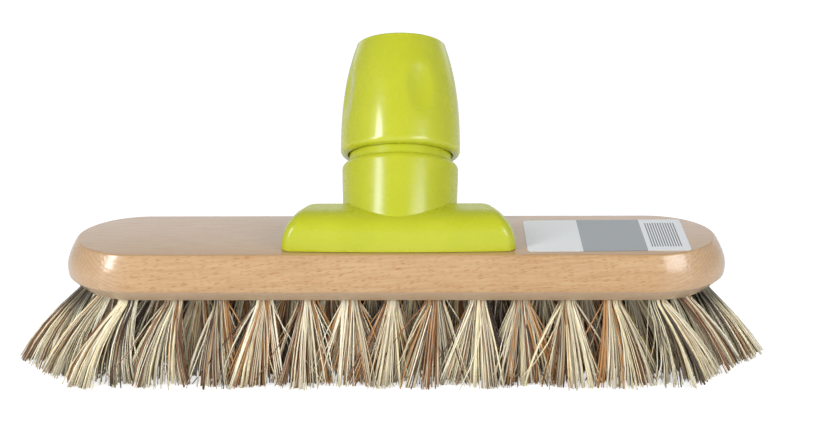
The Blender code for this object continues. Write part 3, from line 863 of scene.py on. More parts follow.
@dataclass(frozen=True)
class EndFan:
    """How the tufts splay outwards towards one end of the block.

    Attributes:
        lean: how far the last tuft leans out, in degrees.
        row_falloff: the power by which shorter rows lean less.
        longest: the most that a fibre measures outside the wood.
        bow: how far the fibres arch outwards.
        reach: how much further out than evenly the last tuft stands.
    """

    lean: float
    row_falloff: float
    longest: float
    bow: float
    reach: float


@dataclass(frozen=True)
class Bundle:
    """A few fibres of a tuft that lie side by side and share a tone."""

    root: Vector
    slope: Vector
    bow: Vector
    longest: float
    tone: float


@dataclass
class BristleField:
    """Five rows of tufts, each a fan of fibre bundles that are trimmed at the working plane."""

    datum: Datum
    row_pitch: float = 0.0100
    tuft_pitch: float = 0.0178
    counts: tuple[int, ...] = (13, 14, 15, 14, 13)
    hole_radius: float = 0.0033
    hole_depth: float = 0.0050
    bundles: int = 22
    fibres_a_bundle: int = 7
    root_radius: float = 0.0029
    bundle_seat: float = 0.7
    fibre_seat: float = 0.3
    fibre_points: int = 6
    thin: float = 0.00026
    thick: float = 0.00074
    tip_girth: float = 0.85
    flatness: float = 0.50
    spread: float = 0.245
    depth_spread: float = 0.120
    tuft_tilt: float = 0.085
    bundle_tilt: float = 0.095
    wander: float = 0.034
    depth_wander: float = 0.020
    stray_share: float = 0.125
    stray_wander: float = 0.30
    stray_bow: float = 0.0090
    least_loose: float = 0.15
    bow: float = 0.0011
    ragged: float = 0.0013
    tone_shift: float = 0.12
    own_tone_share: float = 0.32
    end_lean_power: float = 3.0
    end_tuft_calm: float = 0.7
    end_bundle_calm: float = 0.6
    end_outer_spread: float = -0.4
    end_inner_spread: float = 0.6
    left_end: EndFan = EndFan(lean=36.0, row_falloff=1.8, longest=0.0486, bow=0.0125, reach=0.0042)
    right_end: EndFan = EndFan(lean=36.0, row_falloff=1.6, longest=0.0424, bow=0.0080, reach=0.0022)
    reach_power: float = 3.0
    # painted shade: where each row's fibres start on the finish's painted shade scale; the middle row starts deepest,
    # so the gaps between the front tufts are painted dark
    painted_shade_starts: tuple[float, ...] = (0.30, 0.18, -0.35, 0.18, 0.30)
    side_lean: float = 5.5
    seed: int = 7

    def last_place(self, count: int) -> float:
        """How far from the middle the last of a row's tufts would stand if all stood evenly."""
        return (count - 1) / 2 * self.tuft_pitch

    def end_at(self, x: float) -> EndFan:
        """The fan of the end that a place lies towards."""
        return self.left_end if x < 0 else self.right_end

    def places(self, row: int) -> list[Spot]:
        """Where the tufts of a row stand: evenly, but towards the ends a little further out.

        Args:
            row: the row's index, from the front.

        Returns:
            The places, as (x, y).
        """
        count = self.counts[row]
        y = (row - (len(self.counts) - 1) / 2) * self.row_pitch
        spots = []
        for i in range(count):
            x = (i - (count - 1) / 2) * self.tuft_pitch
            outwards = (abs(x) / self.last_place(max(self.counts))) ** self.reach_power
            spots.append((x + math.copysign(self.end_at(x).reach, x) * outwards, y))
        return spots

    def bunch(self, x: float, y: float, last: float, chance: random.Random) -> list[Bundle]:
        """Lay out a tuft's bundles.

        Args:
            x: the tuft's place along the block.
            y: the tuft's place across the block.
            last: the even place of its row's last tuft.
            chance: the row's own random numbers.

        Returns:
            The bundles, each with a slope of its own.
        """
        end = self.end_at(x)
        outward = math.copysign(1.0, x)
        share = min(1.0, abs(x) / last) ** self.end_lean_power
        along = math.radians(end.lean) * (last / self.last_place(max(self.counts))) ** end.row_falloff * share
        across = math.radians(self.side_lean) * y / ((len(self.counts) - 1) / 2 * self.row_pitch)
        tilt = chance.gauss(0, self.tuft_tilt) * (1 - self.end_tuft_calm * share)
        middle = Vector((outward * math.tan(along) + tilt, math.tan(across)))
        shift = chance.uniform(-self.tone_shift, self.tone_shift)
        bundles = []
        for _ in range(self.bundles):
            out = Vector((chance.uniform(-1, 1), 0.0))
            out.y = chance.uniform(-1, 1) * math.sqrt(1.0 - out.x**2)
            widen = self.end_outer_spread if out.x * outward > 0 else self.end_inner_spread
            slope = middle + Vector((out.x * self.spread * (1 + widen * share), out.y * self.depth_spread))
            slope.x += chance.gauss(0, self.bundle_tilt) * (1 - self.end_bundle_calm * share)
            bow = Vector((chance.gauss(0, self.bow) - outward * end.bow * share, chance.gauss(0, self.bow)))
            tone = min(0.99, max(0.0, chance.random() + shift * chance.random()))
            root = Vector((x, y)) + out * self.root_radius * self.bundle_seat
            bundles.append(Bundle(root, slope, bow, end.longest, tone))
        return bundles

    def fibre(self, bundle: Bundle, chance: random.Random) -> np.ndarray:
        """Shape one fibre of a bundle.

        Args:
            bundle: the bundle that it belongs to.
            chance: the row's own random numbers.

        Returns:
            The fibre's points from root to tip.
        """
        stray = chance.random() < self.stray_share
        loose = max(self.least_loose, 1 - abs(bundle.slope.x))
        wander = self.stray_wander * loose if stray else self.wander
        slope = bundle.slope + Vector((chance.gauss(0, wander), chance.gauss(0, self.depth_wander)))
        turn = chance.uniform(0, math.tau)
        root = bundle.root + Vector((math.cos(turn), math.sin(turn))) * self.root_radius * self.fibre_seat
        drop = self.datum.underside_z - chance.uniform(0, 1) ** 3 * self.ragged
        longest = bundle.longest - chance.uniform(0, 1) * self.ragged
        drop = min(drop, longest / math.sqrt(1 + slope.length_squared))
        bow = bundle.bow + Vector((chance.gauss(0, self.stray_bow * loose if stray else self.bow / 3), 0.0))
        total = drop + self.hole_depth
        fall = np.linspace(0.0, 1.0, self.fibre_points) * total - self.hole_depth
        free = np.maximum(fall, 0.0)
        arch = (free / drop) * (1.0 - free / drop)
        across = [root[axis] + slope[axis] * free - bow[axis] * arch for axis in (0, 1)]
        return np.column_stack((*across, self.datum.underside_z - fall))

    def section(self) -> Thing:
        """Draw the fibres' flat four-sided section, of half width 1.

        Returns:
            The section's object.
        """
        curve = bpy.data.curves.new("fibre_section", "CURVE")
        spline = curve.splines.new("POLY")
        spline.points.add(3)
        for point, (x, y) in zip(spline.points, ((1, 0), (0, self.flatness), (-1, 0), (0, -self.flatness))):
            point.co = (x, y, 0, 1)
        spline.use_cyclic_u = True
        return to_scene("fibre_section", curve)

    def grow(self, row: int) -> Thing:
        """Grow a row as bevelled curves, and turn it into one mesh that carries each fibre's tone.

        Args:
            row: the row's index, from the front.

        Returns:
            The row's object.
        """
        chance = random.Random(self.seed + row)
        count = self.fibre_points
        section = self.section()
        curve = bpy.data.curves.new("fibres", "CURVE")
        curve.dimensions = "3D"
        curve.bevel_mode = "OBJECT"
        curve.bevel_object = section
        tones = []
        for x, y in self.places(row):
            for bundle in self.bunch(x, y, self.last_place(self.counts[row]), chance) * self.fibres_a_bundle:
                fibre = self.fibre(bundle, chance)
                girth = self.thin + (self.thick - self.thin) * chance.random() ** 3
                points = curve.splines.new("POLY").points
                points.add(count - 1)
                points.foreach_set("co", np.column_stack((fibre, np.ones(count))).ravel())
                points.foreach_set("radius", girth * np.linspace(1.0, self.tip_girth, count))
                points.foreach_set("tilt", np.full(count, chance.uniform(0, math.tau)))
                own = chance.random() < self.own_tone_share
                tones.append(chance.random() if own else bundle.tone)
        holder = to_scene("fibres", curve)
        mesh = shaped(holder)
        discard((holder, section))
        around = len(mesh.vertices) // (len(tones) * count)
        # the along attribute runs from the row's painted shade start at the root to 1 at the tip
        along = np.tile(np.repeat(np.linspace(self.painted_shade_starts[row], 1, count), around), len(tones))
        for name, values in (("tone", np.repeat(tones, around * count)), ("along", along)):
            mesh.attributes.new(name, "FLOAT", "POINT").data.foreach_set("value", values.astype(np.float32))
        bm = bmesh.new()
        bm.from_mesh(mesh)
        bpy.data.meshes.remove(mesh)
        bmesh.ops.holes_fill(bm, edges=[edge for edge in bm.edges if edge.is_boundary], sides=around)
        return to_object(f"bristles_{row + 1}", bm)

    def build(self, finish: bpy.types.Material) -> None:
        """Grow and dress every row."""
        for row in range(len(self.counts)):
            present(self.grow(row), finish, BRUSH, [f"bristle_row_{row + 1}"], sharp_angle=180.0)


@dataclass
class FlangeScrews:
    """Four countersunk screws that come up through the block, with cross recesses in their heads."""

    datum: Datum
    tufts: BristleField
    head_radius: float = 0.00375
    rim: float = 0.0005
    rim_bevel: float = 0.0001
    shank_radius: float = 0.0018
    bite: float = 0.0070
    sink: float = 0.0080
    point: float = 0.0030
    tip_radius: float = 0.0003
    clearance: float = 0.0003
    recess_size: Point = (0.0040, 0.0009, 0.0028)
    recess_turn: float = 23.0
    steps: int = 48

    def places(self) -> list[Spot]:
        """Where the screws stand, as (x, y): between tufts, closer together at the back."""
        pitch, row = self.tufts.tuft_pitch, self.tufts.row_pitch
        return [(-2 * pitch, -row), (2 * pitch, -row), (-pitch, row), (pitch, row)]

    def holes(self) -> Thing:
        """Turn the four counterbored holes as one cutter.

        Returns:
            The cutter.
        """
        seat = self.datum.underside_z + self.sink
        wide = self.head_radius + self.clearance
        narrow = self.shank_radius + self.clearance
        below = self.datum.underside_z - OVERSHOOT
        above = self.datum.top_z + OVERSHOOT
        profile = [(0, below), (wide, below), (wide, seat), (narrow, seat + wide - narrow), (narrow, above), (0, above)]
        return drills("screw_holes", profile, self.steps, self.places())

    def build(self, finish: bpy.types.Material) -> None:
        """Turn, recess and dress the screws.

        Args:
            finish: the screws' material.
        """
        seat = self.datum.underside_z + self.sink
        tip = self.datum.top_z + self.bite
        base = seat - self.rim
        head, shank = self.head_radius, self.shank_radius
        profile = [(0, base), (head - self.rim_bevel, base), (head, base + self.rim_bevel), (head, seat)]
        profile += [(shank, seat + (head - shank)), (shank, tip - self.point), (self.tip_radius, tip), (0, tip)]
        for index, (x, y) in enumerate(self.places(), 1):
            screw = to_object(f"flange_screw_look_{index}", lathe(profile, self.steps, Matrix.Translation((x, y, 0))))
            bars = []
            for turn in (0.0, 90.0):
                angle = math.radians(turn + self.recess_turn * index)
                place = Matrix.Translation((x, y, base)) @ Matrix.Rotation(angle, 4, "Z")
                bars.append((to_object("recess", box(place, self.recess_size)), "DIFFERENCE"))
            carve(screw, bars)
            present(screw, finish, BRUSH, [f"flange_screw_{index}"], sharp_angle=28.0)


@dataclass
class WoodBlock:
    """The oblong beech block: sides drawn in to the top, a chamfered bottom edge and drilled tuft holes."""

    datum: Datum
    tufts: BristleField
    screws: FlangeScrews
    length: float = 0.2794
    width: float = 0.0604
    end_length: float = 0.0325
    widest_height: float = 0.0085
    top_inset: float = 0.0028
    top_end_inset: float = 0.0043
    chamfer_height: float = 0.0046
    chamfer_width: float = 0.0033
    chamfer_end_width: float = 0.0058
    bevel: float = 0.00035
    bevel_angle: float = 24.0
    belly: float = 0.0004
    belly_levels: int = 4
    side_curve: float = 1.6
    side_levels: int = 9
    edge_height: float = 0.0007
    edge_levels: int = 7
    end_steps: int = 56
    hole_slack: float = 0.0005
    hole_cone: float = 0.5
    hole_steps: int = 20

    def ring(self, height: float, inset: float, end_inset: float) -> list[Point]:
        """Draw the block's oblong outline at a height.

        Args:
            height: how far it lies above the underside.
            inset: how far its sides are drawn in.
            end_inset: how far its ends are drawn in.

        Returns:
            The outline's points.
        """
        half_length = self.length / 2 - end_inset
        half_width = self.width / 2 - inset
        end = self.end_length - end_inset
        points = []
        for side, start in ((1, -90.0), (-1, 90.0)):
            for i in range(self.end_steps + 1):
                angle = math.radians(start + 180.0 * i / self.end_steps)
                x = side * (half_length - end) + end * math.cos(angle)
                points.append((x, half_width * math.sin(angle), self.datum.underside_z + height))
        return points

    def levels(self) -> list[Point]:
        """Lay out the outlines that the block's skin follows, from the underside up.

        Returns:
            The height, side inset and end inset of each.
        """
        found = [(0.0, self.chamfer_width + self.belly, self.chamfer_end_width + self.belly)]
        for i in range(self.belly_levels + 1):
            share = i / self.belly_levels
            inset = self.belly * (1.0 - share) ** 2
            height = self.chamfer_height + (self.widest_height - self.chamfer_height) * share
            found.append((height, inset, inset))
        side_top = self.datum.top_z - self.datum.underside_z - self.edge_height
        for i in range(1, self.side_levels + 1):
            share = i / self.side_levels
            drawn = share**self.side_curve
            height = self.widest_height + (side_top - self.widest_height) * share
            found.append((height, self.top_inset * drawn, self.top_end_inset * drawn))
        for i in range(1, self.edge_levels + 1):
            share = math.sin(math.pi / 2 * i / self.edge_levels)
            insets = [inset + self.eased(inset, side_top, share) for inset in (self.top_inset, self.top_end_inset)]
            found.append((side_top + self.edge_height * share, *insets))
        return found

    def eased(self, inset: float, side_top: float, share: float) -> float:
        """Further inset of the rounded top edge, which starts in line with the side below it.

        Args:
            inset: how far the side is drawn in where the edge starts.
            side_top: the height where it starts.
            share: the share of the edge's height.

        Returns:
            The further inset.
        """
        lean = math.atan(self.side_curve * inset / (side_top - self.widest_height))
        radius = self.edge_height / (1.0 - math.sin(lean))
        angle = math.asin(min(1.0, math.sin(lean) + (1.0 - math.sin(lean)) * share))
        return radius * (math.cos(lean) - math.cos(angle))

    def blank(self) -> Thing:
        """Shape the undrilled block, with its chamfer's edges eased.

        Returns:
            The block.
        """
        bm = skin([self.ring(*level) for level in self.levels()])
        bmesh.ops.recalc_face_normals(bm, faces=bm.faces)
        limit = math.radians(self.bevel_angle)
        sharp = [edge for edge in bm.edges if len(edge.link_faces) == 2 and edge.calc_face_angle(0.0) > limit]
        bmesh.ops.bevel(
            bm, geom=sharp, offset=self.bevel, segments=3, profile=0.5, affect="EDGES", material=-1, clamp_overlap=True
        )
        return to_object("block_beech", bm)

    def tuft_holes(self) -> Thing:
        """Turn the tuft holes as one cutter, with conical bottoms as a drill leaves them.

        Returns:
            The cutter.
        """
        radius = self.tufts.hole_radius
        low = self.datum.underside_z - OVERSHOOT
        deep = self.datum.underside_z + self.tufts.hole_depth + self.hole_slack
        profile = [(0, low), (radius, low), (radius, deep), (0, deep + radius * self.hole_cone)]
        spots = [spot for row in range(len(self.tufts.counts)) for spot in self.tufts.places(row)]
        return drills("tuft_holes", profile, self.hole_steps, spots)

    def build(self, finish: bpy.types.Material) -> None:
        """Shape the block, drill it and dress it.

        Args:
            finish: the block's material.
        """
        block = self.blank()
        carve(block, [(self.tuft_holes(), "DIFFERENCE"), (self.screws.holes(), "DIFFERENCE")])
        present(block, finish, BRUSH, ["wood_block"])


@dataclass
class Socket:
    """The one-piece lime socket: a pillow-shaped flange, a boss that leans back and a threaded stub."""

    datum: Datum
    seat_gap: float = 0.0003
    flange_length: float = 0.0972
    flange_front: float = 0.0246
    flange_back: float = 0.0244
    flange_height: float = 0.0148
    front_round: float = 0.01437
    rear_run: float = 0.0284
    end_round: float = 0.00993
    front_corner: float = 0.0041
    top_front_corner: float = 0.0034
    back_corner: float = 0.0375
    top_back_corner: float = 0.0167
    front_bow: float = 0.0016
    front_power: float = 2.865
    rear_power: float = 1.08
    end_power: float = 1.917
    flange_levels: int = 44
    corner_steps: int = 20
    boss_base_radius: float = 0.0239
    boss_top_radius: float = 0.0249
    boss_top: float = 0.0303
    boss_foot: float = -0.020
    shoulder_round: float = 0.0028
    shoulder_turn: float = 88.0
    neck_round: float = 0.0002
    boss_front_trim: float = 0.0026
    boss_sink: float = 0.0020
    foot_rise: float = 0.0005
    stub_radius: float = 0.0218
    stub_top: float = 0.0570
    stub_bevel: float = 0.0010
    bore_radius: float = 0.0145
    mouth_depth: float = 0.0130
    mouth_step: float = 0.0021
    mouth_flare: float = 0.0027
    thread_lead: float = 0.0050
    thread_start: float = 0.0352
    thread_margin: float = 0.0022
    thread_height: float = 0.00042
    shoulder_steps: int = 12
    neck_steps: int = 4
    rim_steps: int = 5
    round_steps: int = 176

    def swell(self, share: float, power: float) -> float:
        """Reach of a superellipse of size 1 at a share of its height."""
        return (1.0 - share**power) ** (1.0 / power)

    def flange_ring(self, share: float) -> list[Point]:
        """Outline of the flange at a share of its height.

        Args:
            share: from 0 at the wood to 1 at the crest.

        Returns:
            The ring's points.
        """
        half = self.flange_length / 2 - self.end_round * (1.0 - self.swell(share, self.end_power))
        front = self.front_round * (1.0 - self.swell(share, self.front_power)) - self.flange_front
        back = self.flange_back - self.rear_run * (1.0 - self.swell(share, self.rear_power))
        near = self.front_corner + (self.top_front_corner - self.front_corner) * share
        far = self.back_corner + (self.top_back_corner - self.back_corner) * share
        shrink = min(1.0, 0.99 * (back - front) / (near + far))
        near, far = near * shrink, far * shrink
        corners = (
            (half - near, front + near, near, -90.0),
            (half - far, back - far, far, 0.0),
            (far - half, back - far, far, 90.0),
            (near - half, front + near, near, 180.0),
        )
        outline = []
        for centre_x, centre_y, radius, start in corners:
            outline += bend((centre_x, centre_y), radius, start, start + 90.0, self.corner_steps)
        last, first = outline[-1][0], outline[0][0]
        for i in range(1, self.corner_steps):
            outline.append((last + (first - last) * i / self.corner_steps, front))
        bow = self.front_bow * (1.0 - share)
        middle = (front + back) / 2
        x0 = self.datum.socket.translation.x
        z = self.datum.top_z + self.seat_gap + self.flange_height * share
        return [(x0 + x, y + bow * (x / half) ** 2 if y < middle else y, z) for x, y in outline]

    def flange(self) -> Thing:
        """The pillow-shaped flange as a skin over rings that follow its swell."""
        shares = [math.sin(math.pi / 2 * i / self.flange_levels) for i in range(self.flange_levels)]
        return to_object("socket_moulding", skin([self.flange_ring(share) for share in [*shares, 1.0]]))

    def tube(self) -> Thing:
        """Turn the boss, neck and stub, and trim them where they stand in the flange.

        Returns:
            The turned solid.
        """
        slope = (self.boss_top_radius - self.boss_base_radius) / self.boss_top
        shoulder = self.boss_top - self.shoulder_round
        centre = (self.boss_base_radius + slope * shoulder - self.shoulder_round, shoulder)
        neck = (self.stub_radius + self.neck_round, self.boss_top + self.neck_round)
        rim = (self.stub_radius - self.stub_bevel, self.stub_top - self.stub_bevel)
        profile = [(0, self.boss_foot), (self.boss_base_radius + slope * self.boss_foot, self.boss_foot)]
        profile += bend(centre, self.shoulder_round, 0, self.shoulder_turn, self.shoulder_steps)
        profile += bend(neck, self.neck_round, 270, 180, self.neck_steps)
        profile += bend(rim, self.stub_bevel, 0, 90, self.rim_steps)
        profile += [(0, self.stub_top)]
        bm = lathe(profile, self.round_steps, self.datum.socket)
        foot_z = self.datum.top_z + self.seat_gap + self.foot_rise
        cut(bm, (0, 0, foot_z), (0, 0, -1))
        cut(bm, (0, self.boss_front_trim - self.flange_front, 0), (0, -1, 0))
        cut(bm, (0, self.flange_back - self.boss_sink, foot_z), (0, 1, -1))
        return to_object("socket_tube", bm)

    def bore(self) -> Thing:
        """Turn the handle's bore and the tapered mouth as one cutter.

        Returns:
            The cutter.
        """
        seat, radius = self.datum.seat_height, self.bore_radius
        mouth = self.stub_top - self.mouth_depth
        past = self.stub_top + OVERSHOOT
        low = radius + self.mouth_step
        wide = low + self.mouth_flare / self.mouth_depth * (past - mouth)
        profile = [(0, seat), (radius, seat), (radius, mouth), (low, mouth), (wide, past), (0, past)]
        return to_object("socket_bore", lathe(profile, self.round_steps, self.datum.socket))

    def build(self, finish: bpy.types.Material) -> None:
        """Shape and dress the socket, and the ridge of its thread that fades in and out.

        Args:
            finish: the material of both.
        """
        moulding = self.flange()
        carve(moulding, [(self.tube(), "UNION"), (self.bore(), "DIFFERENCE")])
        present(moulding, finish, BRUSH, ["socket_base"], sharp_angle=30.0)
        ridge = helix_ridge(
            "stub_thread", self.stub_radius, self.thread_height, self.thread_lead,
            self.thread_start, self.stub_top - self.thread_margin, self.datum.socket,
        )
        present(ridge, finish, BRUSH)


@dataclass
class ClampCollet:
    """The slotted clamp ring that the collar presses into the socket's mouth."""

    datum: Datum
    bore_radius: float = 0.0146
    bottom: float = 0.0470
    bottom_radius: float = 0.01641
    waist_radius: float = 0.0182
    waist_start: float = 0.0556
    head_radius: float = 0.0191
    head_bottom: float = 0.0623
    top: float = 0.0660
    bevel: float = 0.0004
    slots: int = 6
    slot_width: float = 0.0016
    slot_depth: float = 0.012
    slot_offset: float = 0.002
    slot_top: float = 0.0600
    steps: int = 144

    def build(self, finish: bpy.types.Material) -> None:
        """Turn the ring, cut its slots and dress it.

        Args:
            finish: the ring's material.
        """
        edge, bore, foot, head = self.bevel, self.bore_radius, self.bottom_radius, self.head_radius
        profile = [(bore, self.bottom + edge), (bore + edge, self.bottom)]
        profile += [(foot - edge, self.bottom), (foot, self.bottom + edge)]
        profile += [(self.waist_radius, self.waist_start), (self.waist_radius, self.head_bottom)]
        profile += [(head - edge, self.head_bottom), (head, self.head_bottom + edge)]
        profile += [(head, self.top - edge), (head - edge, self.top), (bore + edge, self.top), (bore, self.top - edge)]
        ring = to_object("collet_ring", lathe(profile, self.steps, self.datum.socket))
        slots = bmesh.new()
        length = self.slot_top - self.bottom + OVERSHOOT
        for i in range(self.slots):
            turn = self.datum.socket @ Matrix.Rotation(math.tau * (i + 0.5) / self.slots, 4, "Z")
            middle = Matrix.Translation((bore + self.slot_offset, 0, self.slot_top - length / 2))
            pour(slots, box(turn @ middle, (self.slot_depth, self.slot_width, length)))
        carve(ring, [(to_object("slots", slots), "DIFFERENCE")])
        present(ring, finish, COLLET, ["clamp_collet"], sharp_angle=28.0)


@dataclass
class ScrewCollar:
    """The dimpled screw collar, whose wall draws in towards the handle's mouth."""

    datum: Datum
    bottom: float = 0.0339
    top: float = 0.0837
    bottom_radius: float = 0.0256
    top_radius: float = 0.0189
    taper_power: float = 2.7
    bottom_round: float = 0.0024
    top_round: float = 0.0013
    thread_radius: float = 0.0224
    thread_top: float = 0.0600
    thread_bevel: float = 0.0004
    thread_lead: float = 0.0050
    thread_margins: Spot = (0.0038, 0.0020)
    thread_height: float = 0.00042
    lip_radius: float = 0.0185
    lip_top: float = 0.0618
    groove_radius: float = 0.0195
    shoulder: float = 0.0661
    bore_radius: float = 0.0148
    lead_in: float = 0.0007
    dimples: int = 4
    dimple_turn: float = 22.0
    dimple_height: float = 0.0584
    dimple_size: Point = (0.0028, 0.0078, 0.0142)
    dimple_depth: float = 0.0015
    dimple_tilt: float = 7.0
    rim_blend: float = 0.00060
    skin_depth: float = 0.0006
    bottom_steps: int = 10
    top_steps: int = 8
    lead_steps: int = 4
    steps: int = 360
    levels: int = 96

    def radius(self, height: float) -> float:
        """The wall's outer radius at a height on the axis."""
        share = (height - self.bottom) / (self.top - self.bottom)
        return self.bottom_radius - (self.bottom_radius - self.top_radius) * share**self.taper_power

    def profile(self) -> list[Spot]:
        """Draw the collar's section: its swelling wall outside, and thread zone, groove and bore inside.

        Returns:
            The section's points, as (radius, height).
        """
        low = self.bottom + self.bottom_round
        high = self.top - self.top_round
        points = [(self.thread_radius + self.thread_bevel, self.bottom)]
        points += bend((self.radius(low) - self.bottom_round, low), self.bottom_round, -90, 0, self.bottom_steps)
        for i in range(1, self.levels):
            height = low + (high - low) * i / self.levels
            points.append((self.radius(height), height))
        points += bend((self.radius(high) - self.top_round, high), self.top_round, 0, 90, self.top_steps)
        mouth = (self.bore_radius + self.lead_in, self.top - self.lead_in)
        points += bend(mouth, self.lead_in, 90, 180, self.lead_steps)
        points += [(self.bore_radius, self.shoulder), (self.groove_radius, self.shoulder)]
        points += [(self.groove_radius, self.lip_top), (self.lip_radius, self.lip_top)]
        points += [(self.lip_radius, self.thread_top), (self.thread_radius, self.thread_top)]
        points += [(self.thread_radius, self.bottom + self.thread_bevel)]
        return points

    def press_dimples(self, bm: Mesh) -> None:
        """Press the finger dimples into the wall, each the hollow of an ellipsoid with a soft rim.

        Args:
            bm: the turned collar, about Z.
        """
        size = self.dimple_size
        centre = self.radius(self.dimple_height) - self.dimple_depth + size[0]
        start = Vector((centre, 0.0, self.dimple_height))
        tilt = Matrix.Rotation(math.radians(self.dimple_tilt), 3, "Y")
        heading = tilt @ Vector((-1.0, 0.0, 0.0))
        ray = Vector([heading[k] / size[k] for k in range(3)])
        frames = []
        for i in range(self.dimples):
            angle = math.tau * i / self.dimples - math.pi / 2 + math.radians(self.dimple_turn)
            frames.append(Matrix.Rotation(-angle, 3, "Z"))
        for vert in bm.verts:
            own = math.hypot(vert.co.x, vert.co.y)
            if own < self.radius(min(vert.co.z, self.top)) - self.skin_depth:
                continue
            for frame in frames:
                turned = frame @ vert.co
                local = tilt @ (turned - start)
                point = Vector([local[k] / size[k] for k in range(3)])
                a, b, c = ray.length_squared, point.dot(ray), point.length_squared - 1.0
                root = b * b - a * c
                if root <= 0 or turned.x < 0:
                    continue
                moved = self.soft_positive((-b + math.sqrt(root)) / a)
                vert.co.x *= 1 - moved / own
                vert.co.y *= 1 - moved / own

    def soft_positive(self, travel: float) -> float:
        """The travel where it is positive, and 0 where it isn't, with a short blend between."""
        blend = self.rim_blend
        return 0.5 * (travel + math.sqrt(travel * travel + blend * blend)) if travel > -10 * blend else 0.0

    def build(self, finish: bpy.types.Material) -> None:
        """Turn the collar, press its dimples, add its thread and dress it.

        Args:
            finish: the collar's material.
        """
        bm = lathe(self.profile(), self.steps)
        self.press_dimples(bm)
        bm.transform(self.datum.socket)
        present(to_object("collar_shell", bm), finish, COLLAR, ["screw_collar"], sharp_angle=30.0)
        start = self.bottom + self.thread_margins[0]
        end = self.thread_top - self.thread_margins[1]
        ridge = helix_ridge(
            "collar_thread", self.thread_radius, self.thread_height, self.thread_lead,
            start, end, self.datum.socket, inward=True,
        )
        present(ridge, finish, COLLAR)


@dataclass
class Sticker:
    """The printed sticker on the block's right end."""

    datum: Datum
    length: float = 0.0675
    width: float = 0.0420
    thickness: float = 0.00016
    lift: float = 0.00004
    corner: float = 0.0020
    corner_steps: int = 8
    centre: Spot = (0.0890, -0.0015)
    turn: float = 1.2

    def build(self, finish: bpy.types.Material) -> None:
        """Cut, print and lay the sticker.

        Args:
            finish: the sticker's material, which holds its print.
        """
        half_x = self.length / 2 - self.corner
        half_y = self.width / 2 - self.corner
        outline = []
        for i, (x, y) in enumerate(((half_x, -half_y), (half_x, half_y), (-half_x, half_y), (-half_x, -half_y))):
            outline += bend((x, y), self.corner, 90 * (i - 1), 90 * i, self.corner_steps)
        bm = bmesh.new()
        bottom = bm.faces.new([bm.verts.new((x, y, 0)) for x, y in outline])
        raised = bmesh.ops.extrude_face_region(bm, geom=[bottom])
        top = [item for item in raised["geom"] if isinstance(item, bmesh.types.BMVert)]
        bmesh.ops.translate(bm, verts=top, vec=(0, 0, self.thickness))
        layer = bm.loops.layers.uv.new("print")
        for face in bm.faces:
            for loop in face.loops:
                loop[layer].uv = (loop.vert.co.x / self.length + 0.5, loop.vert.co.y / self.width + 0.5)
        place = Matrix.Translation((*self.centre, self.datum.top_z + self.lift))
        bm.transform(place @ Matrix.Rotation(math.radians(self.turn), 4, "Z"))
        present(to_object("sticker_printed", bm), finish, BRUSH, ["label_sticker"])


# Studio


@dataclass(frozen=True)
class Softbox:
    """An oblong lamp that faces the brush from a bearing and an elevation."""

    name: str
    bearing: float
    elevation: float
    distance: float
    width: float
    height: float
    power: float

    def build(self, aim: Vector) -> None:
        """Hang the lamp.

        Args:
            aim: the point that it faces.
        """
        bearing = math.radians(self.bearing)
        rise = math.radians(self.elevation)
        away = Vector((math.sin(bearing) * math.cos(rise), -math.cos(bearing) * math.cos(rise), math.sin(rise)))
        lamp = bpy.data.lights.new(self.name, "AREA")
        lamp.shape = "RECTANGLE"
        lamp.size, lamp.size_y = self.width, self.height
        lamp.energy = self.power
        holder = to_scene(self.name, lamp)
        holder.location = aim + away * self.distance
        holder.rotation_mode = "QUATERNION"
        holder.rotation_quaternion = (-away).to_track_quat("-Z", "Y")


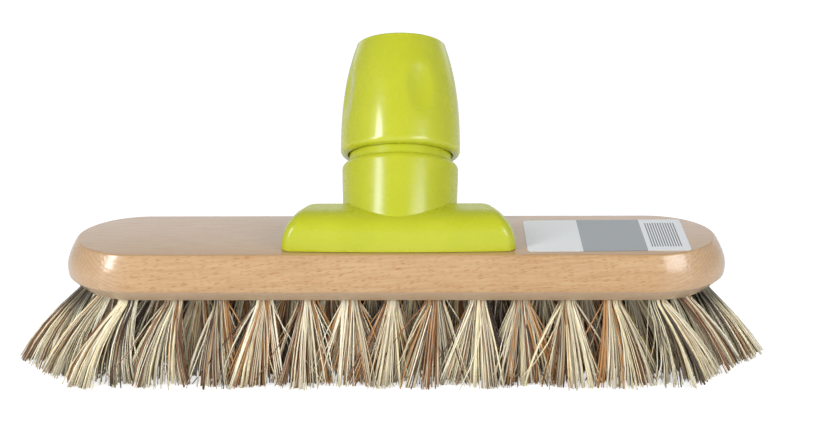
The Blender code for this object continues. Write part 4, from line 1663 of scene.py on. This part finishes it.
@dataclass
class Studio:
    """A plain pale floor and backdrop in a darker room, with a softbox at each side and one in front.

    Attributes:
        aim: the point that the lamps face.
        floor_mirrored: the share of the floor's own light that shows in reflections.
        behind: where the backdrop starts and is full, as the Y of a direction.
        room: the room's light by height.
        backdrop: the backdrop's light by height.
    """

    aim: Vector
    floor_radius: float = 7.0
    floor_drop: float = 0.0002
    floor_colour: Colour = (0.80, 0.80, 0.80)
    floor_light: float = 0.68
    floor_mirrored: float = 0.4
    behind: Spot = (0.55, 0.90)
    room: Stops = (
        (0.02, (0.32, 0.33, 0.35)),
        (0.32, (0.30, 0.31, 0.33)),
        (0.60, (0.28, 0.29, 0.31)),
        (1.00, (0.17, 0.175, 0.185)),
    )
    backdrop: Stops = (
        (0.02, (1.12, 1.14, 1.18)),
        (0.29, (1.08, 1.10, 1.14)),
        (0.52, (0.36, 0.37, 0.38)),
    )
    lamps: tuple[Softbox, ...] = (
        Softbox("softbox_left", -50.0, 24.5, 1.30, 0.25, 0.80, 9.4),
        Softbox("softbox_right", 43.0, 21.3, 1.50, 0.80, 0.72, 10.8),
        Softbox("fill_front", 0.0, 14.0, 2.20, 2.20, 0.70, 3.0),
    )

    def floor(self) -> None:
        """Lay the floor, pale to the camera and seen through from below."""
        bm = bmesh.new()
        bmesh.ops.create_circle(bm, cap_ends=True, segments=96, radius=self.floor_radius)
        floor = to_object("floor", bm)
        floor.data.transform(Matrix.Translation((0, 0, -self.floor_drop)))
        graph = Graph(bpy.data.materials.new("floor_pale"))
        graph.dress(Base_Color=self.floor_colour, Roughness=0.9, Specular_IOR_Level=0.0)
        ray = graph.add("ShaderNodeLightPath").outputs
        mirrored = graph.times(ray["Is Glossy Ray"], self.floor_mirrored)
        seen = graph.math("MAXIMUM", ray["Is Camera Ray"], mirrored)
        seen = graph.math("MAXIMUM", seen, ray["Is Transmission Ray"])
        glow = graph.add("ShaderNodeEmission", WHITE, graph.times(seen, self.floor_light))
        lit = graph.add("ShaderNodeAddShader", graph.nodes["Principled BSDF"].outputs[0], glow.outputs[0])
        clear = graph.add("ShaderNodeBsdfTransparent")
        below = graph.add("ShaderNodeNewGeometry").outputs["Backfacing"]
        side = graph.add("ShaderNodeMixShader", below, lit.outputs[0], clear.outputs[0])
        graph.feed(graph.nodes["Material Output"].inputs["Surface"], side.outputs[0])
        floor.data.materials.append(graph.owner)
        floor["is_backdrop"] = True

    def sky(self) -> None:
        """Give the world a bright backdrop behind and a darker room, white to the camera."""
        graph = Graph(bpy.data.worlds.new("studio_sky"))
        bpy.context.scene.world = graph.owner
        direction = graph.add("ShaderNodeTexCoord").outputs["Generated"]
        height = graph.axis(direction, "Z")
        behind = graph.window(graph.axis(direction, "Y"), *self.behind)
        light = graph.mix(behind, graph.ramp(height, self.room), graph.ramp(height, self.backdrop))
        seen = graph.add("ShaderNodeLightPath").outputs["Is Camera Ray"]
        graph.feed(graph.nodes["Background"].inputs["Color"], graph.mix(seen, light, WHITE))

    def build(self) -> None:
        """Set up the floor, the sky and the lamps."""
        self.floor()
        self.sky()
        for lamp in self.lamps:
            lamp.build(self.aim)


@dataclass(frozen=True)
class PhotoCamera:
    """The camera that took the photograph, as fitted to the block's outlines."""

    target: Point = (0.00572, 0.0, 0.07851)
    distance: float = 0.800
    elevation: float = 16.61
    yaw: float = -2.0
    roll: float = -0.71
    focal_px: float = 1900.0
    sensor_mm: float = 36.0
    axis_above_centre_px: float = 23.1
    clip: Spot = (0.02, 40.0)

    def build(self) -> None:
        """Make the camera and look through it."""
        rise, yaw, roll = (math.radians(angle) for angle in (self.elevation, self.yaw, self.roll))
        ahead = Vector((math.sin(yaw) * math.cos(rise), math.cos(yaw) * math.cos(rise), -math.sin(rise)))
        right = Vector((math.cos(yaw), -math.sin(yaw), 0.0))
        up = right.cross(ahead)
        turned_right = right * math.cos(roll) + up * math.sin(roll)
        turned_up = up * math.cos(roll) - right * math.sin(roll)
        place = Vector(self.target) - ahead * self.distance
        data = bpy.data.cameras.new("photo_camera")
        data.sensor_width = self.sensor_mm
        data.lens = self.focal_px * self.sensor_mm / PHOTO_WIDTH_PX
        data.shift_y = -self.axis_above_centre_px / PHOTO_WIDTH_PX
        data.clip_start, data.clip_end = self.clip
        camera = to_scene("photo_camera", data)
        columns = (turned_right, turned_up, -ahead, place)
        camera.matrix_world = Matrix([[column[i] for column in columns] for i in range(3)] + [[0, 0, 0, 1]])
        bpy.context.scene.camera = camera


def corners(extent: tuple[Vector, Vector]) -> list[list[float]]:
    """A box's two corners as plain numbers."""
    return [[round(value, 5) for value in corner] for corner in extent]


def main() -> None:
    """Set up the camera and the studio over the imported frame, and build the brush's pieces in them."""
    logging.basicConfig(level=logging.INFO, format="%(name)s: %(message)s")
    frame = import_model()
    frame_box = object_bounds()
    datum = Datum.read(frame["record"])
    bpy.context.scene.view_settings.view_transform = "Standard"
    PhotoCamera().build()
    Studio(aim=Vector((0.0, 0.0, 0.08))).build()

    beech = BeechFinish().build()
    lime = PlasticFinish("plastic_lime", (0.555, 0.595, 0.018), (0.585, 0.620, 0.024)).build()
    glossy_lime = PlasticFinish(
        "plastic_lime_polished", (0.58, 0.62, 0.020), (0.615, 0.65, 0.026),
        roughness=0.27, coat=0.6, coat_roughness=0.11,
    ).build()
    clamp = PlasticFinish(
        "plastic_clamp", (0.50, 0.53, 0.51), (0.56, 0.58, 0.56), roughness=0.42, coat=0.0
    ).build()

    tufts = BristleField(datum)
    tufts.build(FibreFinish().build())
    screws = FlangeScrews(datum, tufts)
    WoodBlock(datum, tufts, screws).build(beech)
    screws.build(SteelFinish().build())
    Socket(datum).build(lime)
    ClampCollet(datum).build(clamp)
    ScrewCollar(datum).build(glossy_lime)
    Sticker(datum).build(StickerFinish().build())

    {"frame": corners(frame_box), "dressed": corners(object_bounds())}


if __name__ == "__main__":
    main()
